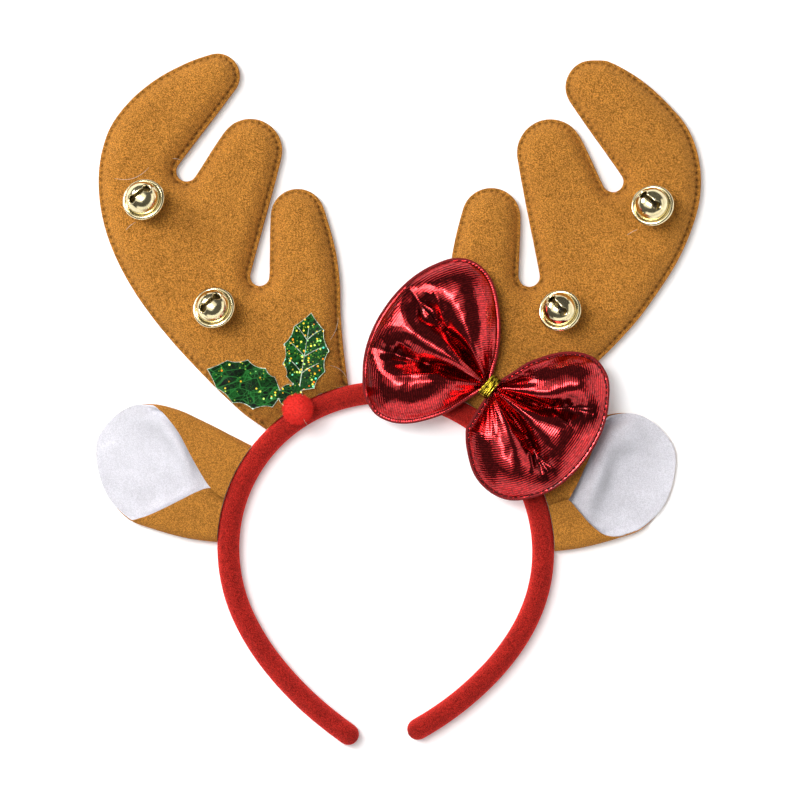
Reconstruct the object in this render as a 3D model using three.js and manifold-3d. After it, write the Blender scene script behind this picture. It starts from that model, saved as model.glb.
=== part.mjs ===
// A festive headband: a felt-covered hoop with padded antlers, folded ears, jingle bells,
// a sprig of holly with a pompom berry, and a pleated bow.
// Millimetres. It lies on its back: +X to the right, +Y towards the antler tips, +Z up.

import * as THREE from "three";
import { mergeVertices } from "three/addons/utils/BufferGeometryUtils.js";
import Module from "manifold-3d";

const wasm = await Module();
wasm.setup();

// Driving dimensions
const GAP = 0.3;
const FELT = 1.2;
const CLOTH = 1.0;

const TUBE_RADIUS = 4.6;
const TIP_RADIUS = 4.9;
const TUBE_SIDES = 12;
const TUBE_STEP = 7.5;
const TIP_ANGLES = [30, 60, 82];
const HOOP_TOP = { x: -6.9, y: 3.1 };

const SEAM_HEIGHT = 3.8;
const ANTLER_TOP = 10;
const ANTLER_RIM = 1.8;
const ANTLER_ROLL = 6.5;
const FRONT_PUFF = 4.2;
const BACK_PUFF = 2.2;
const BASE_SEAT = 4.2;
const SEAM_OVERLAP = 1;
const FLANK_STEPS = 15;
const INNER_STEPS = 5;
const TINE_STEP = 28;

const EAR_FOLD = 4.0;
const EAR_UNFOLDS = { from: 33, to: 46 };
const EAR_LAYER_GAP = 0.7;
const EAR_COLUMNS = { flat: [0.35, 1], fold: [0.33, 0.67, 1], foldShare: 0.75 };

const BELL_RADIUS = 8;
const BELL_WALL = 0.8;
const BELL_BEAD = { radius: 0.9, centre: 8.1, arc: 60, joins: 11 };
const BELL_SHANK = { radius: 1.6, length: 9.2, joins: 78 };
const BELL_TILT = 15;
const BELL_SEGMENTS = 12;
const SLOT = { length: 8.6, width: 1.4, hole: 1.5 };
const PELLET_RADIUS = 2.2;

const HOLLY_THICKNESS = 0.8;
const LEAF_LENGTH = 33;
const LEAF_SCALLOP = 0.76;

const POMPOM = { x: -42.5, y: -3.9, radius: 6.2, flat: 3.75 };

const BOW = { x: 37.2, y: 5.7, turn: -37.6, neckHeight: 14.3, lobeHeight: 16.9 };
const BOW_NECK = { out: 2.8, half: 3.3, reach: 5, thickness: 2.1 };
const BOW_PUFF = { front: 7.5, back: 4.8, rises: 0.45, lifts: 0.5 };
const TIE = { across: 10.4, tall: 8, along: 4.8, wall: 0.8, corner: 1.6 };

const CUT_DEPTH = 100;

const FINISHES = {
  redFelt: { color: 0xb3231f, roughness: 0.95, metalness: 0 },
  brownFelt: { color: 0xab6f2a, roughness: 0.95, metalness: 0 },
  whiteFelt: { color: 0xe9e6f2, roughness: 0.95, metalness: 0 },
  gold: { color: 0xd8c07a, roughness: 0.15, metalness: 1 },
  steel: { color: 0x8f8a80, roughness: 0.4, metalness: 1 },
  hollyFilm: { color: 0x1d5a2a, roughness: 0.3, metalness: 0 },
  pompom: { color: 0xd8352e, roughness: 1, metalness: 0 },
  lame: { color: 0xa3101c, roughness: 0.3, metalness: 0.8 },
  goldCloth: { color: 0xcfa92f, roughness: 0.35, metalness: 0.9 },
};

// A short table: the names of its columns, then one row of numbers for each section
function table(columns, ...rows) {
  return rows.map((row) => Object.fromEntries(columns.map((name, i) => [name, row[i]])));
}

// The hoop from its top down each side, as arcs that run on smoothly into one another
const HOOP_LEFT = table(
  ["radius", "sweep"],
  [64.8, 90],
  [68.8, 25.5],
  [98, 12],
  [137, 12],
  [167, 4.6],
);
const HOOP_RIGHT = table(
  ["radius", "sweep"],
  [66.7, 90],
  [64.6, 23],
  [73.8, 10],
  [96.3, 10],
  [125, 18],
);

// An antler's outer edge from inside the hoop up to the first tine
const FLANK_LEFT = table(
  ["x", "y"],
  [-41.7, -21.7],
  [-53.3, -14.2],
  [-67.1, -4.2],
  [-84.2, 12.5],
  [-99.2, 29.2],
  [-111.3, 45.8],
  [-120, 62.5],
  [-125, 79.2],
  [-125.8, 95],
  [-123.3, 108.3],
  [-116.7, 120.8],
  [-102.9, 133.3],
  [-89.2, 140.8],
);
const FLANK_RIGHT = table(
  ["x", "y"],
  [-35.4, -26.3],
  [-47, -17.6],
  [-64.6, -2.1],
  [-83.3, 16.7],
  [-95.8, 29.2],
  [-108.3, 45.8],
  [-118.3, 62.5],
  [-124.2, 79.2],
  [-125.8, 92.5],
  [-122.9, 108.3],
  [-114.6, 120.8],
  [-101.3, 133.3],
  [-87.5, 141.3],
);

// The round ends of the three tines (turn -1) and the valleys between them (turn 1)
const TINES_LEFT = table(
  ["x", "y", "radius", "turn"],
  [-76.3, 135.4, 9.4, -1],
  [-89.2, 95.6, 4.3, 1],
  [-62.5, 104.2, 13.3, -1],
  [-58.6, 51.7, 4, 1],
  [-42.7, 76.9, 11.3, -1],
);
const TINES_RIGHT = table(
  ["x", "y", "radius", "turn"],
  [-80.4, 130.8, 11.2, -1],
  [-89, 91.3, 4.4, 1],
  [-62.9, 103.3, 14, -1],
  [-54, 51.7, 4.4, 1],
  [-38.1, 76.3, 12.3, -1],
);

// An antler's inner edge from the third tine down to inside the hoop
const INNER_LEFT = table(
  ["x", "y"],
  [-27.1, 63.3],
  [-25, 47.9],
  [-24.6, 29.2],
  [-22.9, 16.7],
  [-21.3, 3.3],
  [-19.6, -6.3],
);
const INNER_RIGHT = table(
  ["x", "y"],
  [-22.1, 62.5],
  [-20.4, 47.9],
  [-20, 29.2],
  [-18.3, 16.7],
  [-16.7, 1.7],
  [-15.4, -7.5],
);

// An ear's half width along its length, and how far its middle leans to the upper side
const EAR_OUTLINE = table(
  ["along", "half", "lean"],
  [-6, 20.2, 0.2],
  [10, 23.2, 0.3],
  [20, 24.7, 0.9],
  [30, 25.6, 1.8],
  [34, 25.6, 2],
  [38, 25.4, 2.2],
  [41, 24.7, 2.5],
  [44, 23.6, 2.8],
  [50, 19.8, 3.6],
  [55, 14.4, 4.4],
  [58.4, 8.6, 5],
  [59.8, 5.6, 5.4],
);

// How far the folded-over edges stand from the axis, and where each fold dies out
const EAR_FOLDS_LEFT = table(
  ["along", "upper", "lower"],
  [10, 0.4, 0.4],
  [15, 3.8, 1.3],
  [20, 8.4, 5.3],
  [30, 19.5, 15.6],
  [38, 25, 22],
);
const EAR_FOLDS_RIGHT = table(
  ["along", "upper", "lower"],
  [10, 0.4, 0.4],
  [15, 1.3, 4.4],
  [20, 4.6, 13.6],
  [30, 16.6, 22.6],
  [38, 25, 22.9],
);

// The four bells, with the way that each slot runs
const BELLS = table(
  ["x", "y", "slotTurn"],
  [-106.3, 83.1, 45],
  [-77.2, 38.3, 45],
  [104.6, 80.6, -45],
  [66.3, 37.1, -45],
);
const BELL_NAMES = ["left_upper", "left_lower", "right_upper", "right_lower"];

// A leaf's spines, on the side that faces away from the other leaf and on the side that faces it
const LEAF_SPINES = table(
  ["outerAlong", "outerReach", "innerAlong", "innerReach"],
  [2, 6.2, 5.2, 6.2],
  [9.5, 9.6, 10, 8.4],
  [18.4, 9.9, 18.2, 9.3],
  [26.6, 6.4, 26.2, 6.3],
);
const LEAVES = table(
  ["x", "y", "turn", "outerSide"],
  [-42.1, 3.8, 81, -1],
  [-49.2, 2.1, 161, 1],
);
const LEAF_BRIDGE = { x: -45.6, y: 1.7, radius: 5 };

// The bow's two lobes as the reach from the knot at each angle from the lobe's axis
const LOBE_LEFT = table(
  ["angle", "reach"],
  [-68, 13],
  [-62, 27],
  [-54, 43.5],
  [-45, 52.4],
  [-37, 55.2],
  [-28, 55.6],
  [0, 54.6],
  [30, 53.2],
  [45, 51.4],
  [54, 47],
  [62, 37.7],
  [70, 20.5],
);
const LOBE_RIGHT = table(
  ["angle", "reach"],
  [-82, 20],
  [-70, 30],
  [-62, 37.6],
  [-54, 43],
  [-45, 47.3],
  [-30, 49.5],
  [0, 48.8],
  [30, 49.8],
  [45, 48.6],
  [54, 44.2],
  [62, 35],
  [70, 18.5],
);
const LOBE_COLUMNS = 20;
const LOBE_ROWS = [0, 0.16, 0.4, 0.68, 0.9, 1];

// The pleats that spread from the knot over each lobe
const PLEATS_LEFT = table(
  ["angle", "depth", "width"],
  [-15, 3.4, 9],
  [17, 3.4, 10],
);
const PLEATS_RIGHT = table(
  ["angle", "depth", "width"],
  [-21, 3.4, 9],
  [17, 3.4, 9],
);
const LOBES = [
  { reaches: LOBE_LEFT, pleats: PLEATS_LEFT, turn: 180 },
  { reaches: LOBE_RIGHT, pleats: PLEATS_RIGHT, turn: 0 },
];

const radians = THREE.MathUtils.degToRad;

// The value of a table's column at a place along its first column, on straight lines between rows
function lookUp(rows, column, at, key = "along") {
  const next = rows.findIndex((row) => row[key] >= at);
  if (next === 0) return rows[0][column];
  if (next < 0) return rows.at(-1)[column];
  const [a, b] = [rows[next - 1], rows[next]];
  return THREE.MathUtils.mapLinear(at, a[key], b[key], a[column], b[column]);
}

// A closed mesh from points and triangles, turned so that its faces point outwards
function closedMesh(points, faces) {
  const geometry = new THREE.BufferGeometry().setFromPoints(points);
  const corner = (i) => points[faces[i]];
  let volume = 0;
  for (let i = 0; i < faces.length; i += 3) {
    volume += corner(i).dot(new THREE.Vector3().crossVectors(corner(i + 1), corner(i + 2)));
  }
  geometry.setIndex(volume < 0 ? faces.toReversed() : faces);
  return geometry;
}

// A skin over closed rings of an even number of points, with each end ring filled in strips
function loft(rings) {
  const sides = rings[0].length;
  const faces = [];
  const quad = (a, b, c, d) => faces.push(a, b, c, a, c, d);
  for (let i = 0; i < rings.length - 1; i++) {
    for (let j = 0; j < sides; j++) {
      const k = (j + 1) % sides;
      quad(i * sides + j, i * sides + k, (i + 1) * sides + k, (i + 1) * sides + j);
    }
  }
  const last = (rings.length - 1) * sides;
  for (let j = 0; j < sides / 2 - 1; j++) {
    const [a, b, c, d] = [j, j + 1, sides - 2 - j, sides - 1 - j];
    quad(d, c, b, a);
    quad(last + a, last + b, last + c, last + d);
  }
  return closedMesh(rings.flat(), faces);
}

// A wall between two rows of points at each section
function wall(outerRows, innerRows) {
  return loft(outerRows.map((row, i) => [...row, ...innerRows[i].toReversed()]));
}

// A three.js geometry as a solid that can be joined and cut
function toSolid(geometry) {
  const bare = geometry.clone();
  for (const name of ["normal", "uv"]) bare.deleteAttribute(name);
  const { attributes, index } = mergeVertices(bare);
  const points = [];
  for (let i = 0; i < attributes.position.count; i++) {
    points.push(new THREE.Vector3().fromBufferAttribute(attributes.position, i));
  }
  const faces = [];
  for (let i = 0; i < index.count; i += 3) {
    const [a, b, c] = index.array.slice(i, i + 3);
    if (a !== b && b !== c && c !== a) faces.push(a, b, c);
  }
  const closed = closedMesh(points, faces);
  return new wasm.Manifold(new wasm.Mesh({
    numProp: 3,
    vertProperties: closed.attributes.position.array,
    triVerts: new Uint32Array(closed.index.array),
  }));
}

function toGeometry(solid) {
  const { vertProperties, triVerts } = solid.getMesh();
  const geometry = new THREE.BufferGeometry();
  geometry.setAttribute("position", new THREE.BufferAttribute(vertProperties, 3));
  geometry.setIndex(new THREE.BufferAttribute(triVerts, 1));
  return geometry;
}

function box(width, depth, height, x, y, z) {
  return toSolid(new THREE.BoxGeometry(width, depth, height).translate(x, y, z));
}

function plate(points, thickness, z) {
  const shape = new THREE.Shape(points);
  return new THREE.ExtrudeGeometry(shape, { depth: thickness, bevelEnabled: false }).translate(0, 0, z);
}

const headpiece = new THREE.Group();

function addPiece(name, geometry, finish) {
  geometry.computeVertexNormals();
  const mesh = new THREE.Mesh(geometry, new THREE.MeshStandardMaterial(finish));
  mesh.name = name;
  headpiece.add(mesh);
  return mesh;
}

// Headband

// Points of one side of the hoop's centre line, with the outward direction at each
function hoopSide(arcs, side) {
  const stations = [];
  const centre = { x: HOOP_TOP.x, y: HOOP_TOP.y - arcs[0].radius };
  let turned = 0;
  arcs.forEach((arc, i) => {
    if (i > 0) {
      const change = arcs[i - 1].radius - arc.radius;
      centre.x += side * change * Math.sin(radians(turned));
      centre.y += change * Math.cos(radians(turned));
    }
    const steps = Math.ceil(arc.sweep / TUBE_STEP);
    for (let j = i === 0 ? 0 : 1; j <= steps; j++) {
      const angle = radians(turned + (arc.sweep * j) / steps);
      const out = new THREE.Vector3(side * Math.sin(angle), Math.cos(angle), 0);
      const at = out.clone().multiplyScalar(arc.radius).add(new THREE.Vector3(centre.x, centre.y, 0));
      stations.push({ at, out, along: new THREE.Vector3(side * out.y, -side * out.x, 0) });
    }
    turned += arc.sweep;
  });
  return stations;
}

const hoopStations = [
  ...hoopSide(HOOP_LEFT, -1).toReversed(),
  ...hoopSide(HOOP_RIGHT, 1).slice(1),
];

function tubeRing({ at, out }, radius) {
  return Array.from({ length: TUBE_SIDES }, (_, i) => {
    const angle = (2 * Math.PI * i) / TUBE_SIDES;
    const point = at.clone().addScaledVector(out, radius * Math.cos(angle));
    point.z = TUBE_RADIUS + Math.min(radius, TUBE_RADIUS) * Math.sin(angle);
    return point;
  });
}

// The tube thickens a little towards its tips, which are rounded off
function hoopTube(extra) {
  const top = hoopStations.findIndex((station) => station.out.y === 1);
  const rings = hoopStations.map((station, i) => {
    const down = Math.abs(i - top) / Math.max(top, hoopStations.length - 1 - top);
    return tubeRing(station, THREE.MathUtils.lerp(TUBE_RADIUS, TIP_RADIUS, down ** 3) + extra);
  });
  const roundedTip = ({ at, out, along }) => TIP_ANGLES.map((degrees) => {
    const ahead = at.clone().addScaledVector(along, TIP_RADIUS * Math.sin(radians(degrees)));
    return tubeRing({ at: ahead, out }, (TIP_RADIUS + extra) * Math.cos(radians(degrees)));
  });
  const first = roundedTip(hoopStations[0]).toReversed();
  const last = roundedTip(hoopStations.at(-1));
  return loft([...first, ...rings, ...last]);
}

addPiece("headband", hoopTube(0), FINISHES.redFelt);

// The room that the hoop takes up, with its clearance, and everything inside it
const hoopInside = hoopStations.map(({ at, out }) => at.clone().addScaledVector(out, BASE_SEAT));
const hoopRoom = toSolid(hoopTube(GAP)).add(
  toSolid(plate(hoopInside, CUT_DEPTH, -CUT_DEPTH / 2)),
);

// Antlers

// Points along a belt that runs over round pegs, from its first point to its last
function belt(pegs) {
  const heading = pegs.slice(1).map((peg, i) => {
    const last = pegs[i];
    const reach = Math.hypot(peg.x - last.x, peg.y - last.y);
    const slip = Math.asin((peg.turn * peg.radius - last.turn * last.radius) / reach);
    return Math.atan2(peg.y - last.y, peg.x - last.x) - slip;
  });
  return pegs.slice(1, -1).flatMap((peg, i) => {
    const full = 2 * Math.PI;
    const turned = ((((heading[i + 1] - heading[i]) * peg.turn) % full) + full) % full;
    const steps = Math.ceil(THREE.MathUtils.radToDeg(turned) / TINE_STEP);
    return Array.from({ length: steps + 1 }, (_, j) => {
      const angle = heading[i] + (peg.turn * turned * j) / steps;
      const offset = peg.turn * peg.radius;
      return new THREE.Vector2(peg.x + offset * Math.sin(angle), peg.y - offset * Math.cos(angle));
    });
  });
}

function smoothRun(rows, steps) {
  return new THREE.SplineCurve(rows.map(({ x, y }) => new THREE.Vector2(x, y))).getSpacedPoints(steps);
}

function antlerOutline(flank, tines, inner, side) {
  const point = (row) => ({ ...row, radius: 0, turn: 0 });
  const outline = [
    ...smoothRun(flank, FLANK_STEPS),
    ...belt([point(flank.at(-1)), ...tines, point(inner[0])]),
    ...smoothRun(inner, INNER_STEPS),
  ];
  return outline.map(({ x, y }) => new THREE.Vector2(side * x, y));
}

// One padded felt panel: a flat sewn rim, and a padded middle that swells from it
function antlerPanel(outline, height, puff, seam, direction) {
  const shape = new THREE.Shape(outline);
  const middle = new THREE.ExtrudeGeometry(shape, {
    depth: height - puff + SEAM_OVERLAP,
    bevelThickness: puff,
    bevelSize: ANTLER_ROLL,
    bevelOffset: -ANTLER_RIM - ANTLER_ROLL,
    bevelSegments: 2,
    steps: 1,
  }).translate(0, 0, -SEAM_OVERLAP);
  const below = box(3 * CUT_DEPTH, 4 * CUT_DEPTH, CUT_DEPTH, 0, 0, -CUT_DEPTH / 2);
  const panel = toSolid(middle).subtract(below).add(toSolid(plate(outline, FELT, 0)));
  const placed = toGeometry(panel).scale(1, 1, direction).translate(0, 0, seam);
  return toGeometry(toSolid(placed).subtract(hoopRoom));
}

const ANTLERS = [
  { name: "left", outline: antlerOutline(FLANK_LEFT, TINES_LEFT, INNER_LEFT, 1) },
  { name: "right", outline: antlerOutline(FLANK_RIGHT, TINES_RIGHT, INNER_RIGHT, -1) },
];

for (const { name, outline } of ANTLERS) {
  const frontSeam = SEAM_HEIGHT + GAP / 2;
  const backSeam = SEAM_HEIGHT - GAP / 2;
  const front = antlerPanel(outline, ANTLER_TOP - frontSeam, FRONT_PUFF, frontSeam, 1);
  const back = antlerPanel(outline, backSeam, BACK_PUFF, backSeam, -1);
  addPiece(`antler_${name}_front`, front, FINISHES.brownFelt);
  addPiece(`antler_${name}_back`, back, FINISHES.brownFelt);
}

// Ears

// A point of the ear's cloth: `run` is the way out from the middle along the outer face,
// `depth` the way in from that face. The cloth lies flat, turns over at the fold and comes back.
function earPoint(half, run, depth) {
  const flat = half - EAR_FOLD;
  const turn = Math.PI * EAR_FOLD;
  if (run <= flat) return { out: run, up: depth };
  if (run > flat + turn) return { out: 2 * flat + turn - run, up: 2 * EAR_FOLD - depth };
  const angle = (run - flat) / EAR_FOLD;
  const inside = EAR_FOLD - depth;
  return { out: flat + inside * Math.sin(angle), up: EAR_FOLD - inside * Math.cos(angle) };
}

// Where the cloth's columns lie: across the flat, round the fold and along the flap
function earColumns(half, fold, unfolded) {
  const flat = half - EAR_FOLD;
  const turn = Math.PI * EAR_FOLD;
  const run = THREE.MathUtils.lerp(2 * flat + turn - fold, half, unfolded);
  const foldEnd = Math.min(flat + turn, THREE.MathUtils.lerp(flat, run, EAR_COLUMNS.foldShare));
  return [
    ...EAR_COLUMNS.flat.map((part) => flat * part),
    ...EAR_COLUMNS.fold.map((part) => THREE.MathUtils.lerp(flat, foldEnd, part)),
    run,
  ];
}

// The cloth's section at a place along the ear, from the edge of the lower flap to that of the upper
function earSection(folds, { along, half, lean }, depth, mirror) {
  const unfolded = THREE.MathUtils.smoothstep(along, EAR_UNFOLDS.from, EAR_UNFOLDS.to);
  const halfRow = (column, side) => {
    const fold = lookUp(folds, column, along) - side * lean;
    return earColumns(half, fold, unfolded).map((run) => {
      const { out, up } = earPoint(half, run, depth);
      return new THREE.Vector3(along, mirror * (lean + side * out), up);
    });
  };
  return [...halfRow("lower", -1).toReversed(), ...halfRow("upper", 1)];
}

function earLayer(folds, innerDepth, outerDepth, mirror, matrix) {
  const rows = (depth) => EAR_OUTLINE.map((row) => earSection(folds, row, depth, mirror));
  const layer = wall(rows(outerDepth), rows(innerDepth)).applyMatrix4(matrix);
  return toSolid(layer).subtract(hoopRoom);
}

const EARS = [
  { name: "left", folds: EAR_FOLDS_LEFT, x: -69.2, y: -39.2, turn: 164, mirror: -1 },
  { name: "right", folds: EAR_FOLDS_RIGHT, x: 57.3, y: -43, turn: 16, mirror: 1 },
];

for (const { name, folds, x, y, turn, mirror } of EARS) {
  const matrix = new THREE.Matrix4().makeRotationZ(radians(turn)).setPosition(x, y, 0);
  const outer = earLayer(folds, FELT, 0, mirror, matrix);
  const outerRoom = earLayer(folds, FELT + GAP, 0, mirror, matrix);
  const inner = earLayer(folds, 2 * FELT + EAR_LAYER_GAP, FELT + EAR_LAYER_GAP, mirror, matrix);
  addPiece(`ear_${name}_outer`, toGeometry(outer), FINISHES.brownFelt);
  addPiece(`ear_${name}_inner`, toGeometry(inner.subtract(outerRoom)), FINISHES.whiteFelt);
}

// Bells

function arcPoints(radius, centre, from, to, steps) {
  return Array.from({ length: steps + 1 }, (_, i) => {
    const angle = radians(THREE.MathUtils.lerp(from, to, i / steps));
    return new THREE.Vector2(centre + radius * Math.cos(angle), radius * Math.sin(angle));
  });
}

// A turned solid about its own Z axis
function turned(profile) {
  return toSolid(new THREE.LatheGeometry(profile, BELL_SEGMENTS).rotateX(Math.PI / 2));
}

function upright(radius, height, x, z) {
  const post = new THREE.CylinderGeometry(radius, radius, height, 8);
  return toSolid(post.rotateX(Math.PI / 2).translate(x, 0, z));
}

// A hollow shell with a rolled bead where its two halves meet, a slot with round ends and a shank
function bellShell() {
  const shell = turned([
    new THREE.Vector2(0, -BELL_SHANK.length),
    new THREE.Vector2(BELL_SHANK.radius, -BELL_SHANK.length),
    ...arcPoints(BELL_RADIUS, 0, -BELL_SHANK.joins, -BELL_BEAD.joins, 3),
    ...arcPoints(BELL_BEAD.radius, BELL_BEAD.centre, -BELL_BEAD.arc, BELL_BEAD.arc, 2),
    ...arcPoints(BELL_RADIUS, 0, BELL_BEAD.joins, 90, 4),
  ]);
  const hollow = turned(arcPoints(BELL_RADIUS - BELL_WALL, 0, -90, 90, 6));
  const height = 2 * BELL_RADIUS;
  const slit = box(SLOT.length, SLOT.width, height, 0, 0, height / 2);
  const holes = [-1, 1].map((end) => upright(SLOT.hole, height, (end * SLOT.length) / 2, height / 2));
  return holes.reduce((bell, hole) => bell.subtract(hole), shell.subtract(hollow).subtract(slit));
}

const bellRise = BELL_SHANK.length * Math.cos(radians(BELL_TILT))
  + BELL_SHANK.radius * Math.sin(radians(BELL_TILT));
const bellHeight = ANTLER_TOP + GAP + bellRise;
const bellLean = new THREE.Quaternion().setFromAxisAngle(
  new THREE.Vector3(-1, -1, 0).normalize(),
  radians(BELL_TILT),
);

BELLS.forEach(({ x, y, slotTurn }, i) => {
  const name = `bell_${BELL_NAMES[i]}`;
  const bell = addPiece(name, toGeometry(bellShell()), FINISHES.gold);
  const slotSpin = new THREE.Quaternion().setFromAxisAngle(new THREE.Vector3(0, 0, 1), radians(slotTurn));
  bell.position.set(x, y, bellHeight);
  bell.quaternion.copy(bellLean).multiply(slotSpin);
  const ball = new THREE.IcosahedronGeometry(PELLET_RADIUS, 1);
  const pellet = addPiece(`${name}_pellet`, ball, FINISHES.steel);
  pellet.position.set(x, y, bellHeight - (BELL_RADIUS - BELL_WALL - PELLET_RADIUS - GAP));
});

// Holly

// A leaf that runs along +X from its base: sharp spines with hollow edges between them
function leafOutline(outerSide) {
  const rising = LEAF_SPINES.map((row) => [row.outerAlong, outerSide * row.outerReach]);
  const falling = LEAF_SPINES.map((row) => [row.innerAlong, -outerSide * row.innerReach]).toReversed();
  const corners = [...rising, [LEAF_LENGTH, 0], ...falling];
  const shape = new THREE.Shape();
  shape.moveTo(0, 0);
  corners.forEach(([x, y], i) => {
    const [lastX, lastY] = i > 0 ? corners[i - 1] : [0, 0];
    shape.quadraticCurveTo((x + lastX) / 2, (LEAF_SCALLOP * (y + lastY)) / 2, x, y);
  });
  shape.closePath();
  return shape.getPoints(4);
}

const hollyBottom = ANTLER_TOP + GAP;

function hollyLeaves() {
  const bridge = new THREE.CylinderGeometry(LEAF_BRIDGE.radius, LEAF_BRIDGE.radius, HOLLY_THICKNESS, 16);
  bridge.rotateX(Math.PI / 2).translate(LEAF_BRIDGE.x, LEAF_BRIDGE.y, hollyBottom + HOLLY_THICKNESS / 2);
  const leaves = LEAVES.map(({ x, y, turn, outerSide }) => {
    const leaf = plate(leafOutline(outerSide), HOLLY_THICKNESS, hollyBottom);
    return toSolid(leaf.rotateZ(radians(turn)).translate(x, y, 0));
  });
  return leaves.reduce((sprig, leaf) => sprig.add(leaf), toSolid(bridge));
}

addPiece("holly_leaves", toGeometry(hollyLeaves()), FINISHES.hollyFilm);

const berryBottom = hollyBottom + HOLLY_THICKNESS + GAP;

function berryPompom() {
  const height = berryBottom + POMPOM.flat;
  const ball = new THREE.SphereGeometry(POMPOM.radius, 16, 10).rotateX(Math.PI / 2);
  const below = box(CUT_DEPTH, CUT_DEPTH, CUT_DEPTH, POMPOM.x, POMPOM.y, berryBottom - CUT_DEPTH / 2);
  return toSolid(ball.translate(POMPOM.x, POMPOM.y, height)).subtract(below);
}

addPiece("berry_pompom", toGeometry(berryPompom()), FINISHES.pompom);

// Bow

// A point of a bow panel's outer or inner face, in the lobe's own frame with the knot at its origin
function lobePoint({ reaches, pleats }, angle, part, face, depth) {
  const [first, last] = [reaches[0].angle, reaches.at(-1).angle];
  const middle = (first + last) / 2;
  const side = (angle - middle) / (last - middle);
  const reach = lookUp(reaches, "reach", angle, "angle");
  const rimX = reach * Math.cos(radians(angle));
  const rimY = reach * Math.sin(radians(angle));
  const x = THREE.MathUtils.lerp(BOW_NECK.out, rimX, part);
  const y = THREE.MathUtils.lerp(BOW_NECK.half * side, rimY, part);
  const rise = 1 - (1 - Math.min(1, part / BOW_PUFF.rises)) ** 2;
  const puff = rise * Math.sqrt(1 - part ** 4) * Math.sqrt(1 - side ** 4);
  const folds = pleats.reduce((sum, pleat) => {
    return sum + pleat.depth * Math.exp(-(((angle - pleat.angle) / pleat.width) ** 2));
  }, 0);
  const height = face > 0 ? (BOW_PUFF.front - folds * (1 - part ** 2)) * puff : BOW_PUFF.back * puff;
  const lift = Math.min(1, part / BOW_PUFF.lifts);
  const plane = THREE.MathUtils.lerp(BOW.neckHeight, BOW.lobeHeight, lift);
  return new THREE.Vector3(x, y, plane + face * (GAP / 2 + height + depth));
}

function lobePanel(lobe, face) {
  const [first, last] = [lobe.reaches[0].angle, lobe.reaches.at(-1).angle];
  const angles = Array.from({ length: LOBE_COLUMNS }, (_, i) => {
    return THREE.MathUtils.lerp(first, last, i / (LOBE_COLUMNS - 1));
  });
  const rows = (depth) => LOBE_ROWS.map((part) => {
    return angles.map((angle) => lobePoint(lobe, angle, part, face, depth));
  });
  return toSolid(wall(rows(CLOTH), rows(0)).rotateZ(radians(lobe.turn)));
}

function bowPanel(face) {
  const neckMiddle = BOW.neckHeight + (face * (GAP + BOW_NECK.thickness)) / 2;
  const neck = box(2 * BOW_NECK.reach, 2 * BOW_NECK.half, BOW_NECK.thickness, 0, 0, neckMiddle);
  const panel = LOBES.reduce((made, lobe) => made.add(lobePanel(lobe, face)), neck);
  return toGeometry(panel).rotateZ(radians(BOW.turn)).translate(BOW.x, BOW.y, 0);
}

addPiece("bow_front", bowPanel(1), FINISHES.lame);
addPiece("bow_back", bowPanel(-1), FINISHES.lame);

function roundedRectangle(path, width, height, corner) {
  const [x, y] = [width / 2 - corner, height / 2 - corner];
  path.absarc(x, y, corner, 0, Math.PI / 2);
  path.absarc(-x, y, corner, Math.PI / 2, Math.PI);
  path.absarc(-x, -y, corner, Math.PI, 1.5 * Math.PI);
  path.absarc(x, -y, corner, 1.5 * Math.PI, 2 * Math.PI);
  return path;
}

// The band round the bow's middle: a ring whose hole runs along the bow
function bowTie() {
  const ring = roundedRectangle(new THREE.Shape(), TIE.across, TIE.tall, TIE.corner);
  const hole = [TIE.across - 2 * TIE.wall, TIE.tall - 2 * TIE.wall, TIE.corner - TIE.wall];
  ring.holes.push(roundedRectangle(new THREE.Path(), ...hole));
  const tie = new THREE.ExtrudeGeometry(ring, { depth: TIE.along, bevelEnabled: false, curveSegments: 3 });
  tie.translate(0, 0, -TIE.along / 2).rotateX(Math.PI / 2).rotateZ(Math.PI / 2);
  return tie.rotateZ(radians(BOW.turn)).translate(BOW.x, BOW.y, BOW.neckHeight);
}

addPiece("bow_tie", bowTie(), FINISHES.goldCloth);

// The origin is under the middle of the whole piece
headpiece.updateMatrixWorld(true);
const extent = new THREE.Box3().setFromObject(headpiece, true);
const centre = extent.getCenter(new THREE.Vector3());
headpiece.position.set(-centre.x, -centre.y, -extent.min.z);

export default headpiece;
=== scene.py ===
"""The looks of a reindeer-antler headband: its felt, metallic cloth, bells, glitter film and pompom."""

import math
from typing import NamedTuple

import bmesh
import bpy
import numpy as np
from bpy.props import FloatProperty, FloatVectorProperty, IntProperty, PointerProperty
from mathutils import Matrix, Vector
from mathutils.geometry import delaunay_2d_cdt


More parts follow.
